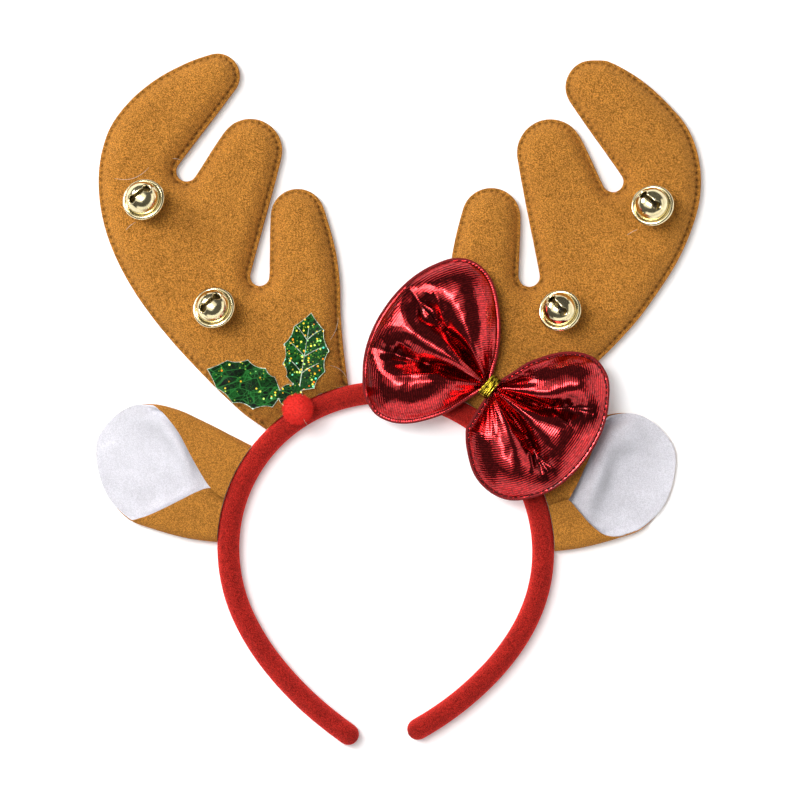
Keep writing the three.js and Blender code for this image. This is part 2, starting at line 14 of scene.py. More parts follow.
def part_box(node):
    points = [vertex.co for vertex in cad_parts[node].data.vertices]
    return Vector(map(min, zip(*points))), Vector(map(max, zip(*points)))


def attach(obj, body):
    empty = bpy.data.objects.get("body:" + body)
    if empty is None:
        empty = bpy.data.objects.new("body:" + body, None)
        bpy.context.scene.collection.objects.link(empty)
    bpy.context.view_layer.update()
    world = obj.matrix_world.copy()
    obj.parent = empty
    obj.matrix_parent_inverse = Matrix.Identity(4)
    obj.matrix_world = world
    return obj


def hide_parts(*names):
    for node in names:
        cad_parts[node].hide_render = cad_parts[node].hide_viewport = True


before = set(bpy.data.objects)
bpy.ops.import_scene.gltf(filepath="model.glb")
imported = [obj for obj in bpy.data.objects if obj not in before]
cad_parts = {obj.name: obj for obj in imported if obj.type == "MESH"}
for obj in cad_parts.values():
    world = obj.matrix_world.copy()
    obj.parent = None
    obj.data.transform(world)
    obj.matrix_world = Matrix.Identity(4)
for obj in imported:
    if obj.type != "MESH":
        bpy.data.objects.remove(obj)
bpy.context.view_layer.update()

bl_info = {
    "name": "Reindeer headband",
    "version": (1, 0, 0),
    "blender": (4, 5, 0),
    "location": "3D view > Sidebar > Headband",
    "description": "Makes the felt, cloth, bells and film of a reindeer-antler headband",
    "category": "Add Mesh",
}

# Shapes are worked out in millimetres and become metres when a piece is made
MM = 0.001


class Arc(NamedTuple):
    """A stretch of the hoop: an arc's radius and the angle that it sweeps."""

    radius: float
    sweep: float


class EarRow(NamedTuple):
    """A section of an ear: its place along the ear, its half width and its lean to the upper side."""

    along: float
    half: float
    lean: float


class FoldRow(NamedTuple):
    """How far an ear's upper and lower folded edges stand from its axis at a place along it."""

    along: float
    upper: float
    lower: float


class Swell(NamedTuple):
    """How an ear's inner felt stands up beside a flap: its height, how far its top lies from the flap's
    edge, how far it takes to fall towards the middle, and how dark the painted shade on that fall is."""

    tall: float
    apart: float
    fall: float
    shade: float


class Ear(NamedTuple):
    """An ear's place, the way that it points, its folds, which flap is on top, and its inner swells, the
    lower one first."""

    x: float
    y: float
    turn: float
    mirror: int
    folds: tuple
    over: int
    swells: tuple


class Reach(NamedTuple):
    """How far a bow lobe's rim lies from the knot at an angle from the lobe's axis."""

    angle: float
    reach: float


class Valley(NamedTuple):
    """A pleat's groove: its angle from the lobe's axis, half width in degrees and depth share, then the
    angle and reach of its crumpled pocket."""

    angle: float
    width: float
    depth: float
    pocket_angle: float
    pocket_reach: float


class Crease(NamedTuple):
    """A sharp ridge in a pleat's pocket, from one angle and reach to another."""

    angle: float
    reach: float
    to_angle: float
    to_reach: float
    height: float


class Leaf(NamedTuple):
    """A holly leaf's base and the way that it points."""

    x: float
    y: float
    turn: float


class Hair(NamedTuple):
    """A loose hair on the felt: its ends and how far it bows aside, as a share of its length."""

    start: tuple
    end: tuple
    bow: float


class Lumps(NamedTuple):
    """Random lumps in a surface: their height, how far across they are, and the seed of their draw."""

    height: float
    size: float
    seed: int


class Softbox(NamedTuple):
    """A soft light: its place in metres, its power as a share of the stage's setting, and its size."""

    name: str
    place: tuple
    share: float
    size: tuple


def in_millimetres(box):
    """A box's lowest and highest corners in millimetres."""
    return [np.array(corner) / MM for corner in box]


# The drawing that the part is built from has its own middle; the knot of the bow ties it to the frame
KNOT_DRAWN = np.array([37.2, 5.7])
TIE_LOW, TIE_HIGH = in_millimetres(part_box("bow_tie"))
KNOT = (TIE_LOW + TIE_HIGH)[:2] / 2
SHIFT = KNOT - KNOT_DRAWN

TUBE_RADIUS = 4.6
TIP_RADIUS = 4.5
HOOP_TOP = np.array([-6.9, 3.1]) + SHIFT
HOOP_LEFT = (Arc(64.8, 90), Arc(68.8, 25.5), Arc(98, 12), Arc(137, 12), Arc(167, 4.6))
HOOP_RIGHT = (Arc(66.7, 90), Arc(64.6, 23), Arc(73.8, 10), Arc(96.3, 10), Arc(125, 18))
HOOP_STEP = 1.0

FELT = 1.2
SEAM_HEIGHT = 3.8
FRONT_SEAM = 3.95
ANTLER_TOP = 10.0

EAR_FOLD = 4.0
EAR_TIP = 61.4
EAR_ROWS = (
    EarRow(-6, 20.2, 0.2), EarRow(10, 23.2, 0.3), EarRow(20, 24.7, 0.9), EarRow(30, 25.6, 1.8),
    EarRow(38, 25.4, 2.2), EarRow(44, 23.8, 3.0), EarRow(50, 20.4, 4.0), EarRow(55, 15.4, 4.8),
    EarRow(59, 8.8, 5.4),
)
FOLDS_LEFT = (
    FoldRow(-6, -2.4, 0.4), FoldRow(7, -1.8, 0.4), FoldRow(11, 0.4, 0.5), FoldRow(15, 3.8, 3.2),
    FoldRow(20, 8.6, 7.8), FoldRow(30, 18.8, 16.8), FoldRow(38, 24.6, 23),
)
FOLDS_RIGHT = (
    FoldRow(-6, -3.4, 2.2), FoldRow(7, -3.4, 2.2), FoldRow(11, -3.2, 2.1), FoldRow(13, -2.2, 2.4),
    FoldRow(15, -0.2, 6.4), FoldRow(18, 2.8, 13), FoldRow(22, 7.4, 19.2), FoldRow(30, 17.2, 23.6),
    FoldRow(34, 23.2, 24), FoldRow(38, 27, 24.2),
)
SWELLS_LEFT = (Swell(1.0, 1.5, 3.0, 0.0), Swell(3.6, 3.4, 6.0, 0.12))
SWELLS_RIGHT = (Swell(1.4, 1.5, 3.0, 0.0), Swell(5.0, 9.5, 9.0, 0.28))
EARS = {
    "left": Ear(-69.2, -39.2, 164, -1, FOLDS_LEFT, 1, SWELLS_LEFT),
    "right": Ear(57.3, -43, 16, 1, FOLDS_RIGHT, -1, SWELLS_RIGHT),
}

BELL_SLOT_TURNS = {"left_upper": 36, "left_lower": 42, "right_upper": -41, "right_lower": -50}
BELL_TILT = 22
BELL_TILT_WAY = 124
BELL_OVER_PELLET = 4.7

LEAVES = (Leaf(-42.1, 3.8, 81), Leaf(-49.2, 2.1, 161))
LEAF_LENGTH = 33

BOW_TURN = -37.6
BOW_NECK_HEIGHT = 14.3
BOW_LOBE_HEIGHT = 16.9
LOBE_TURNS = {"left": BOW_TURN + 180, "right": BOW_TURN}
LOBE_REACHES = {
    "left": (
        Reach(-68, 13), Reach(-62, 27), Reach(-54, 43.5), Reach(-45, 52.4), Reach(-37, 55.2),
        Reach(-28, 55.6), Reach(0, 54.6), Reach(30, 53.2), Reach(45, 51.4), Reach(54, 47),
        Reach(62, 37.7), Reach(70, 20.5),
    ),
    "right": (
        Reach(-82, 20), Reach(-70, 30), Reach(-62, 37.6), Reach(-54, 43), Reach(-45, 47.3),
        Reach(-30, 49.8), Reach(0, 50.2), Reach(30, 50), Reach(45, 48.6), Reach(54, 44.2),
        Reach(62, 35), Reach(70, 18.5),
    ),
}
VALLEYS = {
    "left": (Valley(-15.5, 17, 0.78, -13, 41), Valley(17.5, 17, 0.78, 19, 40.5)),
    "right": (Valley(-16, 17, 0.76, -19, 40), Valley(16, 17, 0.76, 23, 38.5)),
}
CREASES = {
    "left": (
        Crease(-14, 27, -22, 46, 0.7), Crease(-13, 30, -12, 45, 0.6), Crease(20, 18, 31, 40, 0.9),
        Crease(15, 29, 11, 45, 0.6), Crease(20, 33, 24, 47, 0.6), Crease(60, 7, 40, 20, 0.6),
    ),
    "right": (
        Crease(-19, 30, -26, 41, 0.7), Crease(-19, 31, -18, 48, 0.8), Crease(17, 26, 10, 40, 0.8),
        Crease(18, 26, 25, 46, 0.8), Crease(-17, 8, -19, 30, 0.6), Crease(45, 21, 68, 11, 0.6),
    ),
}

HAIRS = (
    Hair((-119, 92.4), (-104.6, 97), -0.16), Hair((-114.2, 70.8), (-110.2, 74.2), 0.05),
    Hair((-95, 100.6), (-91.7, 100.2), 0.1), Hair((-29.2, 25), (-25.8, 34.4), -0.08),
    Hair((-29.2, 14.4), (-22.2, 9), 0.14), Hair((94.6, 68.6), (99, 71), 0.06),
    Hair((-39.9, -7.8), (-37.2, -11.6), -0.1),
)

SOFTBOXES = (
    Softbox("softbox_above", (-0.75, 0.5, 2.25), 1.0, (2.4, 2.4)),
    Softbox("softbox_side", (-1.75, 1.15, 1.1), 1.3, (0.9, 0.7)),
    Softbox("strip_light", (-0.6, 0.42, 1.9), 1.2, (0.42, 1.0)),
    Softbox("card_right", (2.0, 0.1, 0.5), 0.32, (2.0, 0.9)),
    Softbox("card_corner", (1.4, -1.4, 0.5), 0.32, (2.0, 0.9)),
    Softbox("card_front", (-0.3, -2.0, 0.5), 0.32, (2.0, 0.9)),
)


# Settings


def a_length(name, description, millimetres, low=0.0):
    """A size that the user may change, shown in the scene's units."""
    return FloatProperty(
        name=name, description=description, default=millimetres * MM, min=low * MM, unit="LENGTH",
        precision=5)


def a_colour(name, description, default):
    """A colour that the user may change."""
    return FloatVectorProperty(
        name=name, description=description, default=default, subtype="COLOR", size=3, min=0.0, max=1.0)


def a_share(name, description, default):
    """A number from 0 to 1 that the user may change."""
    return FloatProperty(
        name=name, description=description, default=default, subtype="FACTOR", min=0.0, max=1.0)


def a_count(name, description, default, low, high):
    """A whole number that the user may change."""
    return IntProperty(name=name, description=description, default=default, min=low, max=high)


class HEADBAND_PG_felt(bpy.types.PropertyGroup):
    """Felt of the hoop, antlers and ears."""

    brown: a_colour("Brown felt", "Colour of the antlers and the ears' outer side", (0.46, 0.19, 0.031))
    red: a_colour("Red felt", "Colour of the hoop's cover", (0.44, 0.019, 0.013))
    white: a_colour("White felt", "Colour of the ears' inner side", (0.76, 0.745, 0.8))
    flecks: a_share("Flecks", "How strongly light and dark fibres show", 0.8)


class HEADBAND_PG_seam(bpy.types.PropertyGroup):
    """Topstitching of the antlers."""

    inset: a_length("Seam inset", "Distance of the stitches from the cut edge", 1.8)
    pitch: a_length("Stitch pitch", "Distance from one needle hole to the next", 3.1, 0.5)
    thread: a_length("Thread radius", "Half of the thread's thickness", 0.26, 0.05)


class HEADBAND_PG_bell(bpy.types.PropertyGroup):
    """Jingle bells."""

    gold: a_colour("Bell metal", "Colour of the polished shells", (0.86, 0.74, 0.44))
    lip: a_length("Slot lip", "How far the slot's edge is rolled in", 0.55, 0.1)


class HEADBAND_PG_bow(bpy.types.PropertyGroup):
    """Metallic cloth bow and its tie."""

    red: a_colour("Bow cloth", "Colour of the metallic cloth", (0.62, 0.034, 0.038))
    gold: a_colour("Tie strands", "Colour of the strands round the knot", (0.56, 0.4, 0.03))
    puff: a_length("Front puff", "How far the lobes stand out in front", 9.0)
    rib: a_length("Rib pitch", "Distance between the cloth's ribs", 0.93, 0.2)
    strands: a_count("Strands", "Strands side by side in the tie", 6, 2, 12)


class HEADBAND_PG_sprig(bpy.types.PropertyGroup):
    """Holly leaves and pompom berry."""

    green: a_colour("Holly film", "Colour of the glitter film", (0.012, 0.13, 0.018))
    vein: a_colour("Veins", "Colour of the printed veins and the cut edge", (0.62, 0.76, 0.58))
    red: a_colour("Pompom", "Colour of the pompom's yarn", (0.88, 0.05, 0.038))
    strands: a_count("Strands", "Yarn ends in the pompom", 5200, 200, 20000)


class HEADBAND_PG_stage(bpy.types.PropertyGroup):
    """Floor, light and camera."""

    floor: a_colour("Floor", "Colour of the floor", (0.96, 0.96, 0.96))
    daylight: FloatProperty(
        name="Even light", description="Strength of the even light", default=0.2, min=0.0)
    softbox: FloatProperty(
        name="Softbox", description="Power of the softbox", default=20.8, min=0.0, subtype="POWER")
    view: a_length("View width", "Width of what the camera sees", 333.3, 50)


class HEADBAND_PG_settings(bpy.types.PropertyGroup):
    """All of the headband's settings."""

    felt: PointerProperty(type=HEADBAND_PG_felt)
    seam: PointerProperty(type=HEADBAND_PG_seam)
    bell: PointerProperty(type=HEADBAND_PG_bell)
    bow: PointerProperty(type=HEADBAND_PG_bow)
    sprig: PointerProperty(type=HEADBAND_PG_sprig)
    stage: PointerProperty(type=HEADBAND_PG_stage)


# Shader expressions


class Wire:
    """A shader socket in a Python expression: each operator adds the node that works it out."""

    def __init__(self, surface, socket):
        self.surface = surface
        self.socket = socket

    def __add__(self, other):
        return self.surface.combine("ADD", self, other)

    def __radd__(self, other):
        return self.surface.combine("ADD", other, self)

    def __sub__(self, other):
        return self.surface.combine("SUBTRACT", self, other)

    def __rsub__(self, other):
        return self.surface.combine("SUBTRACT", other, self)

    def __mul__(self, other):
        return self.surface.combine("MULTIPLY", self, other)

    def __rmul__(self, other):
        return self.surface.combine("MULTIPLY", other, self)

    def between(self, low, high):
        """0 below low and 1 above high, with a smooth step between them."""
        return self.surface.node(
            "ShaderNodeMapRange",
            {"interpolation_type": "SMOOTHSTEP"},
            {"Value": self, "From Min": low, "From Max": high},
        )

    def sine(self):
        return self.surface.node("ShaderNodeMath", {"operation": "SINE"}, {0: self})

    def part(self, axis):
        """One of a vector's three parts."""
        return self.surface.node("ShaderNodeSeparateXYZ", {}, {"Vector": self}, out=axis)


class Surface:
    """A material that is being made."""

    COLOUR_A, COLOUR_B, COLOUR_OUT = 6, 7, 2

    def __init__(self, name):
        self.material = bpy.data.materials.new(name)
        self.material.use_nodes = True
        self.tree = self.material.node_tree
        self.shader = self.tree.nodes["Principled BSDF"]

    def join(self, value, socket):
        """Links a wire to a socket, or sets the socket to a number or a colour."""
        if isinstance(value, Wire):
            self.tree.links.new(value.socket, socket)
        elif socket.type == "RGBA":
            socket.default_value = (*value, 1.0)
        else:
            socket.default_value = value

    def node(self, kind, settings, inputs, out=0):
        """Adds a node, with its settings first and then its sockets, and gives one of its outputs."""
        made = self.tree.nodes.new(kind)
        for name, value in settings.items():
            if name == "stops":
                self.set_stops(made.color_ramp, value)
            else:
                setattr(made, name, value)
        for name, value in inputs.items():
            self.join(value, made.inputs[name])
        return Wire(self, made.outputs[out])

    @staticmethod
    def set_stops(ramp, stops):
        while len(ramp.elements) < len(stops):
            ramp.elements.new(1.0)
        for element, (place, shade) in zip(ramp.elements, stops):
            element.position = place
            element.color = (*shade, 1.0)

    def combine(self, operation, first, second):
        """Arithmetic on numbers, vectors or colours, each with its own kind of node."""
        kinds = {value.socket.type for value in (first, second) if isinstance(value, Wire)}
        if "RGBA" in kinds:
            settings = {"data_type": "RGBA", "blend_type": operation}
            inputs = {0: 1.0, self.COLOUR_A: self.threefold(first), self.COLOUR_B: self.threefold(second)}
            return self.node("ShaderNodeMix", settings, inputs, self.COLOUR_OUT)
        if "VECTOR" in kinds:
            inputs = {0: self.threefold(first), 1: self.threefold(second)}
            return self.node("ShaderNodeVectorMath", {"operation": operation}, inputs)
        return self.node("ShaderNodeMath", {"operation": operation}, {0: first, 1: second})

    @staticmethod
    def threefold(value):
        """A number as three equal parts; a colour, a vector or a wire as it is."""
        return (value,) * 3 if isinstance(value, (int, float)) else value

    def mix(self, first, second, factor):
        """A colour between two others."""
        inputs = {0: factor, self.COLOUR_A: first, self.COLOUR_B: second}
        return self.node("ShaderNodeMix", {"data_type": "RGBA"}, inputs, self.COLOUR_OUT)

    def mottled(self, base, dark, pattern, low, high):
        """A colour that is darker where a pattern is under low, and plain where it is over high."""
        return self.mix(tinted(base, dark), base, pattern.between(low, high))

    def shade(self):
        """The painted shade and light that the piece's own points carry."""
        return self.node("ShaderNodeAttribute", {"attribute_name": "shade"}, {}, out="Fac")

    def place(self):
        return self.node("ShaderNodeTexCoord", {}, {}, out="Object")

    def drawn_out(self, place, turn, times):
        """A place whose patterns come out longer along a line turned from the Y axis."""
        inputs = {"Vector": place, "Rotation": (0.0, 0.0, turn), "Scale": (1.0, times, 1.0)}
        return self.node("ShaderNodeMapping", {"vector_type": "TEXTURE"}, inputs)

    def noise(self, place, size, detail=2.0, roughness=0.5, distortion=0.0):
        """Noise whose patches are about size millimetres across."""
        inputs = {
            "Vector": place, "Scale": 1 / (size * MM), "Detail": detail, "Roughness": roughness,
            "Distortion": distortion,
        }
        return self.node("ShaderNodeTexNoise", {}, inputs, out="Fac")

    def cells(self, place, size, out="Color", feature="F1"):
        """Random cells about size millimetres across."""
        inputs = {"Vector": place, "Scale": 1 / (size * MM)}
        return self.node("ShaderNodeTexVoronoi", {"feature": feature}, inputs, out)

    def bump(self, height, depth, strength=1.0, over=None):
        """A normal tilted by a height that is worth depth millimetres, over another normal if given."""
        inputs = {"Height": height, "Distance": depth * MM, "Strength": strength}
        if over is not None:
            inputs["Normal"] = over
        return self.node("ShaderNodeBump", {}, inputs, out="Normal")

    def finish(self, **values):
        """Sets the shader's sockets; an underscore in a name stands for a space."""
        for name, value in values.items():
            self.join(value, self.shader.inputs[name.replace("_", " ")])
        return self.material


# Finishes


def tinted(base, times):
    """A colour made darker or lighter."""
    return tuple(min(1.0, part * times) for part in base)


def felt_surface(name, base, flecks, dark, light, nap=0.8):
    """Needle felt: matted fibres in lighter and darker shades, with a soft sheen, and its points' painted
    shade.
    """
    felt = Surface(name)
    place = felt.place()
    one, two = (felt.drawn_out(place, turn, 2.6) for turn in (0.9, -0.6))
    matted = felt.noise(one, 0.27, 1.0, 0.5, 0.4)
    crossed = felt.noise(two, 0.24, 1.0, 0.5, 0.4)
    clumps = felt.noise(place, 1.5, 1.0)
    drift = felt.noise(place, 14, 3.0, 0.6)
    tone = matted * 0.45 + crossed * 0.45 + clumps * 0.1
    fibres = tone.between(0.4, 0.6)
    deep = tinted(base, 1 - flecks * (1 - dark))
    pale = tinted(base, 1 + flecks * (light - 1))
    # The points' painted shade and light darken or lighten the felt's colour
    hue = felt.mix(deep, pale, fibres) * (drift * 0.4 + 0.79) * felt.shade()
    return felt.finish(
        Base_Color=hue, Roughness=0.95, Sheen_Weight=0.35, Sheen_Roughness=0.55,
        Sheen_Tint=tuple(min(1.0, part * 1.7 + 0.05) for part in base), Specular_IOR_Level=0.1,
        Normal=felt.bump(tone, nap),
    )


def thread_surface(name, base):
    """Twisted sewing thread."""
    thread = Surface(name)
    twist = thread.noise(thread.place(), 0.35)
    hue = thread.mottled(base, 0.55, twist, 0.35, 0.65)
    return thread.finish(
        Base_Color=hue, Roughness=0.7, Specular_IOR_Level=0.2, Normal=thread.bump(twist, 0.15))


def bell_surface(base):
    """Bright plated metal with faint scuffs."""
    gold = Surface("bell_gold")
    place = gold.place()
    scuffs = gold.noise(place, 1.2, 4.0, 0.7)
    bloom = gold.noise(place, 5.0)
    hue = gold.mottled(base, 0.82, bloom, 0.35, 0.6)
    return gold.finish(
        Base_Color=hue, Metallic=1.0, Roughness=scuffs * 0.14 + 0.09, Normal=gold.bump(bloom, 0.05))


def steel_surface():
    """The dull steel of the loose pellets."""
    steel = Surface("pellet_steel")
    pits = steel.noise(steel.place(), 0.6, 3.0)
    hue = steel.mix((0.25, 0.2, 0.17), (0.55, 0.5, 0.46), pits)
    return steel.finish(
        Base_Color=hue, Metallic=1.0, Roughness=pits * 0.3 + 0.2, Normal=steel.bump(pits, 0.1))


def lame_surface(base, pitch):
    """Metallic cloth whose fine ribs run round the knot, with painted shade and highlight in its colour."""
    lame = Surface("bow_lame")
    place = lame.place()
    from_knot = (place - (KNOT[0] * MM, KNOT[1] * MM, 0.0)) * (1.0, 1.0, 0.0)
    reach = lame.node("ShaderNodeVectorMath", {"operation": "LENGTH"}, {0: from_knot}, out="Value")
    wander = lame.noise(place, 6.0)
    ribs = (reach * (2 * math.pi / (pitch * MM)) + wander * 4.0).sine() * 0.5 + 0.5
    weave = lame.noise(place, 0.5, 3.0, 0.6)
    crumple = lame.noise(place, 7.0, 3.0, 0.5, 0.4)
    broken = lame.noise(place, 1.3, 1.0)
    # Partly the weave's own random tone, partly painted light: darker between ribs, lighter on their crests
    deep, bright = (tinted(base, tone) for tone in (0.22, 1.45))
    # The points' painted shade darkens the pleats and pockets
    hue = lame.mix(deep, bright, ribs * broken.between(0.3, 0.62) * 0.6 + weave * 0.55) * lame.shade()
    grain = lame.bump(ribs + weave * 0.3, 0.05)
    folds = lame.bump(crumple, 0.9, 0.27, over=grain)
    return lame.finish(
        Base_Color=hue, Metallic=1.0, Roughness=weave * 0.12 + 0.05, Coat_Weight=0.26, Coat_Roughness=0.06,
        Normal=folds)


def binding_surface(base):
    """The bow's cut rim, where the cloth's matt back shows."""
    rim = Surface("bow_rim")
    weave = rim.noise(rim.place(), 0.4, 3.0)
    hue = rim.mottled(base, 0.6, weave, 0.3, 0.7)
    return rim.finish(
        Base_Color=hue, Roughness=0.6, Metallic=0.2, Specular_IOR_Level=0.2, Normal=rim.bump(weave, 0.1))


def strand_surface(base):
    """Gold foil strands of the tie."""
    foil = Surface("tie_gold")
    lengthwise_streaks = foil.noise(foil.drawn_out(foil.place(), math.radians(BOW_TURN), 6.0), 0.5)
    # The colour is near black in streaks that run along the strands
    hue = foil.mottled(base, 0.06, lengthwise_streaks, 0.42, 0.6)
    return foil.finish(
        Base_Color=hue, Metallic=1.0, Roughness=lengthwise_streaks * 0.2 + 0.15, Normal=foil.bump(lengthwise_streaks, 0.12))


# Colours of the painted glints
SPARKLE_HUES = (
    (0.0, (1.0, 0.16, 0.01)), (0.25, (1.0, 0.6, 0.02)), (0.5, (1.0, 0.9, 0.1)), (0.75, (0.45, 1.0, 0.2)),
    (1.0, (0.1, 0.85, 0.6)),
)


def sparkles(film, place, size, clear, edge, dotted):
    """Round painted glint dots in a share of random cells, and the cells' random colours."""
    spread = film.cells(place, size)
    centre = film.cells(place, size, out="Distance")
    dots = (1.0 - centre.between(clear, edge)) * spread.part(0).between(0.98 - dotted, 1.0 - dotted)
    return dots, spread


def film_surface(name, base, dotted, streaks):
    """Glitter film in painted light: dark green flakes, round sparkles in several colours, pale streaks."""
    film = Surface(name)
    place = film.place()
    # Each flake's random brightness is painted reflection
    flake = film.cells(place, 0.8).part(0)
    # The round sparkles and the small glints are painted glints
    dots, spread = sparkles(film, place, 1.6, 0.2, 0.32, dotted)
    small_painted_glints, _ = sparkles(film, place, 1.1, 0.16, 0.3, 0.6 * dotted)
    hues = film.node("ShaderNodeValToRGB", {"stops": SPARKLE_HUES}, {"Fac": spread.part(1)})
    ground = film.mix(tinted(base, 0.05), tinted(base, 1.1), flake)
    crease_lit_colour = tuple(part * 1.9 + 0.01 for part in base)
    # Facets of random brightness and lighter creases: painted light and shade of crinkled film
    for turn, size in ((0.5, 2.2), (-0.9, 3.0), (1.7, 3.8)):
        lines = film.drawn_out(place, turn, 2.4)
        facet = film.cells(lines, size).part(0).between(0.35, 0.65)
        crease_light = 1.0 - film.cells(lines, size, "Distance", "DISTANCE_TO_EDGE").between(0.01, 0.04)
        ground = ground * (facet * (0.62 * streaks) + (1 - 0.62 * streaks))
        ground = film.mix(ground, crease_lit_colour, crease_light * (0.6 * streaks ** 2))
    ground = film.mix(ground, (0.35, 0.62, 0.04), small_painted_glints * 0.8)
    # The sparkles glow, as painted glints that shine without a lamp
    glint_glow = film.mix((0.0, 0.0, 0.0), hues, dots)
    return film.finish(
        Base_Color=film.mix(ground, hues, dots), Roughness=flake * 0.25 + 0.3, Specular_IOR_Level=0.06,
        Emission_Color=glint_glow, Emission_Strength=0.45, Normal=film.bump(flake, 0.12))


def plain_print_surface(base):
    """Pale print of the leaf's veins and cut edge."""
    pale = Surface("holly_vein")
    print_scuffs_and_painted_shade = pale.noise(pale.place(), 0.9, 3.0)
    hue = pale.mottled(base, 0.3, print_scuffs_and_painted_shade, 0.4, 0.56)
    return pale.finish(Base_Color=hue, Roughness=0.35, Metallic=0.3, Normal=pale.bump(print_scuffs_and_painted_shade, 0.05))


def yarn_surface(base):
    """Fluffy yarn ends."""
    yarn = Surface("pompom_yarn")
    tone = yarn.noise(yarn.place(), 0.8)
    hue = yarn.mottled(base, 0.7, tone, 0.3, 0.6)
    return yarn.finish(
        Base_Color=hue, Roughness=0.95, Specular_IOR_Level=0.05, Sheen_Weight=0.3, Sheen_Tint=base,
        Normal=yarn.bump(tone, 0.2))


def floor_surface(base):
    """A pale matt floor, faintly lit so that shadows on it stay light."""
    floor = Surface("studio_floor")
    grain = floor.noise(floor.place(), 30.0)
    hue = floor.mix(tinted(base, 0.99), base, grain)
    return floor.finish(
        Base_Color=hue, Roughness=0.9, Specular_IOR_Level=0.1, Emission_Color=(1.0, 1.0, 1.0),
        Emission_Strength=0.16)


# Shape helpers

# How many points are measured at once, which keeps the memory in use small
NEAREST_AT_ONCE = 700
WITHIN_AT_ONCE = 1500


def mesh_points(mesh):
    """A mesh's points in millimetres."""
    points = np.zeros(len(mesh.vertices) * 3, np.float32)
    mesh.vertices.foreach_get("co", points)
    return points.reshape(-1, 3).astype(float) / MM


def node_mesh(name):
    """A node's points in millimetres, with those in one place joined, and its triangles."""
    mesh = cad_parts[name].data
    mesh.calc_loop_triangles()
    triangles = np.zeros(len(mesh.loop_triangles) * 3, np.int32)
    mesh.loop_triangles.foreach_get("vertices", triangles)
    joined, index = np.unique(np.round(mesh_points(mesh), 3), axis=0, return_inverse=True)
    return joined, index.reshape(-1)[triangles].reshape(-1, 3)


def edge_loops(triangles):
    """The loops of points round the edge of a patch of triangles."""
    sides = np.concatenate([triangles[:, [0, 1]], triangles[:, [1, 2]], triangles[:, [2, 0]]])
    present = set(map(tuple, sides.tolist()))
    ahead = {a: b for a, b in present if (b, a) not in present}
    loops = []
    while ahead:
        start = min(ahead)
        loop = [start]
        while (following := ahead.pop(loop[-1])) != start:
            loop.append(following)
        loops.append(loop)
    return sorted(loops, key=len, reverse=True)


def flat_outline(name, height):
    """The outline of a node's flat face at a height, anticlockwise."""
    points, triangles = node_mesh(name)
    level = np.abs(points[:, 2] - height) < 0.02
    loop = points[edge_loops(triangles[level[triangles].all(axis=1)])[0]][:, :2]
    return loop if area(loop) > 0 else loop[::-1]


def area(loop):
    x, y = loop.T
    return float((x * np.roll(y, -1) - y * np.roll(x, -1)).sum() / 2)


def unit(vectors):
    return vectors / np.maximum(np.linalg.norm(vectors, axis=-1, keepdims=True), 1e-12)


def all_round(count):
    """Equal angles all the way round."""
    return np.linspace(0, 2 * math.pi, count, endpoint=False)


def on_circle(angles):
    """Points on a circle with a radius of one."""
    return np.stack([np.cos(angles), np.sin(angles)], axis=-1)


def heading(degrees):
    """The flat direction at an angle from the X axis."""
    angle = math.radians(degrees)
    return np.array([math.cos(angle), math.sin(angle)])


def raised(flat, height):
    """Flat points at one height, or each at its own."""
    height = np.broadcast_to(height, flat.shape[:-1])[..., None]
    return np.concatenate([flat, height], axis=-1)


def walked(line):
    """How far along a line of points each of them is."""
    return np.concatenate([[0], np.cumsum(np.linalg.norm(np.diff(line, axis=0), axis=1))])


def averaged(values, count, ends):
    """Each value's average with its neighbours, count of them in all."""
    return np.convolve(np.pad(values, count // 2, mode=ends), np.ones(count) / count, mode="valid")


def closer_at_end(count):
    """Shares from 0 to 1 that lie closer together near 1."""
    return 1 - (1 - np.linspace(0, 1, count)) ** 1.25


def hump(values, width, middle=0.0):
    """1 at the middle, falling smoothly to nothing within about two widths."""
    return np.exp(-((values - middle) / width) ** 2)


def eased(gap, radius):
    """How far a rounded edge has dropped: 1 at the edge, 0 from a radius inwards."""
    return 1 - np.sqrt(1 - np.clip(1 - gap / radius, 0, 1) ** 2)


def step(values, low, high):
    """0 below low and 1 above high, with a smooth step between."""
    t = np.clip((values - low) / (high - low), 0, 1)
    return t * t * (3 - 2 * t)


def cubic(start, leave, end, arrive, t):
    """A smooth way from start to end, with its slopes where it leaves and arrives."""
    return (
        start * (1 + 2 * t) * (1 - t) ** 2 + leave * t * (1 - t) ** 2
        + end * t * t * (3 - 2 * t) + arrive * t * t * (t - 1))


def curve(at, places, values):
    """A smooth curve through values at places."""
    places, values = np.asarray(places, float), np.asarray(values, float)
    slopes = np.gradient(values, places)
    i = np.clip(np.searchsorted(places, at, side="right") - 1, 0, len(places) - 2)
    run = places[i + 1] - places[i]
    t = np.clip((at - places[i]) / run, 0, 1)
    return cubic(values[i], slopes[i] * run, values[i + 1], slopes[i + 1] * run, t)


def smooth_loop(corners, spacing, sharp=45.0, near=0.5):
    """Points on a smooth closed curve through corners; a corner that turns by more than sharp stays."""
    corners = corners[np.linalg.norm(corners - np.roll(corners, 1, 0), axis=1) > near]
    go = np.roll(corners, -1, 0) - corners
    come = np.roll(go, 1, 0)
    turn = np.degrees(np.arccos(np.clip((unit(go) * unit(come)).sum(1), -1, 1)))[:, None]
    leave = np.where(turn > sharp, unit(go), unit(go + come))
    arrive = np.where(turn > sharp, unit(come), unit(go + come))
    made = []
    for i, corner in enumerate(corners):
        j = (i + 1) % len(corners)
        reach = np.linalg.norm(go[i])
        count = max(1, round(reach / spacing))
        t = (np.arange(count) / count)[:, None]
        made.append(cubic(corner, leave[i] * reach, corners[j], arrive[j] * reach, t))
    return np.concatenate(made)


def inward(loop):
    """The direction into an anticlockwise loop at each of its points."""
    along = unit(np.roll(loop, -1, 0) - np.roll(loop, 1, 0))
    return np.stack([-along[:, 1], along[:, 0]], axis=1)


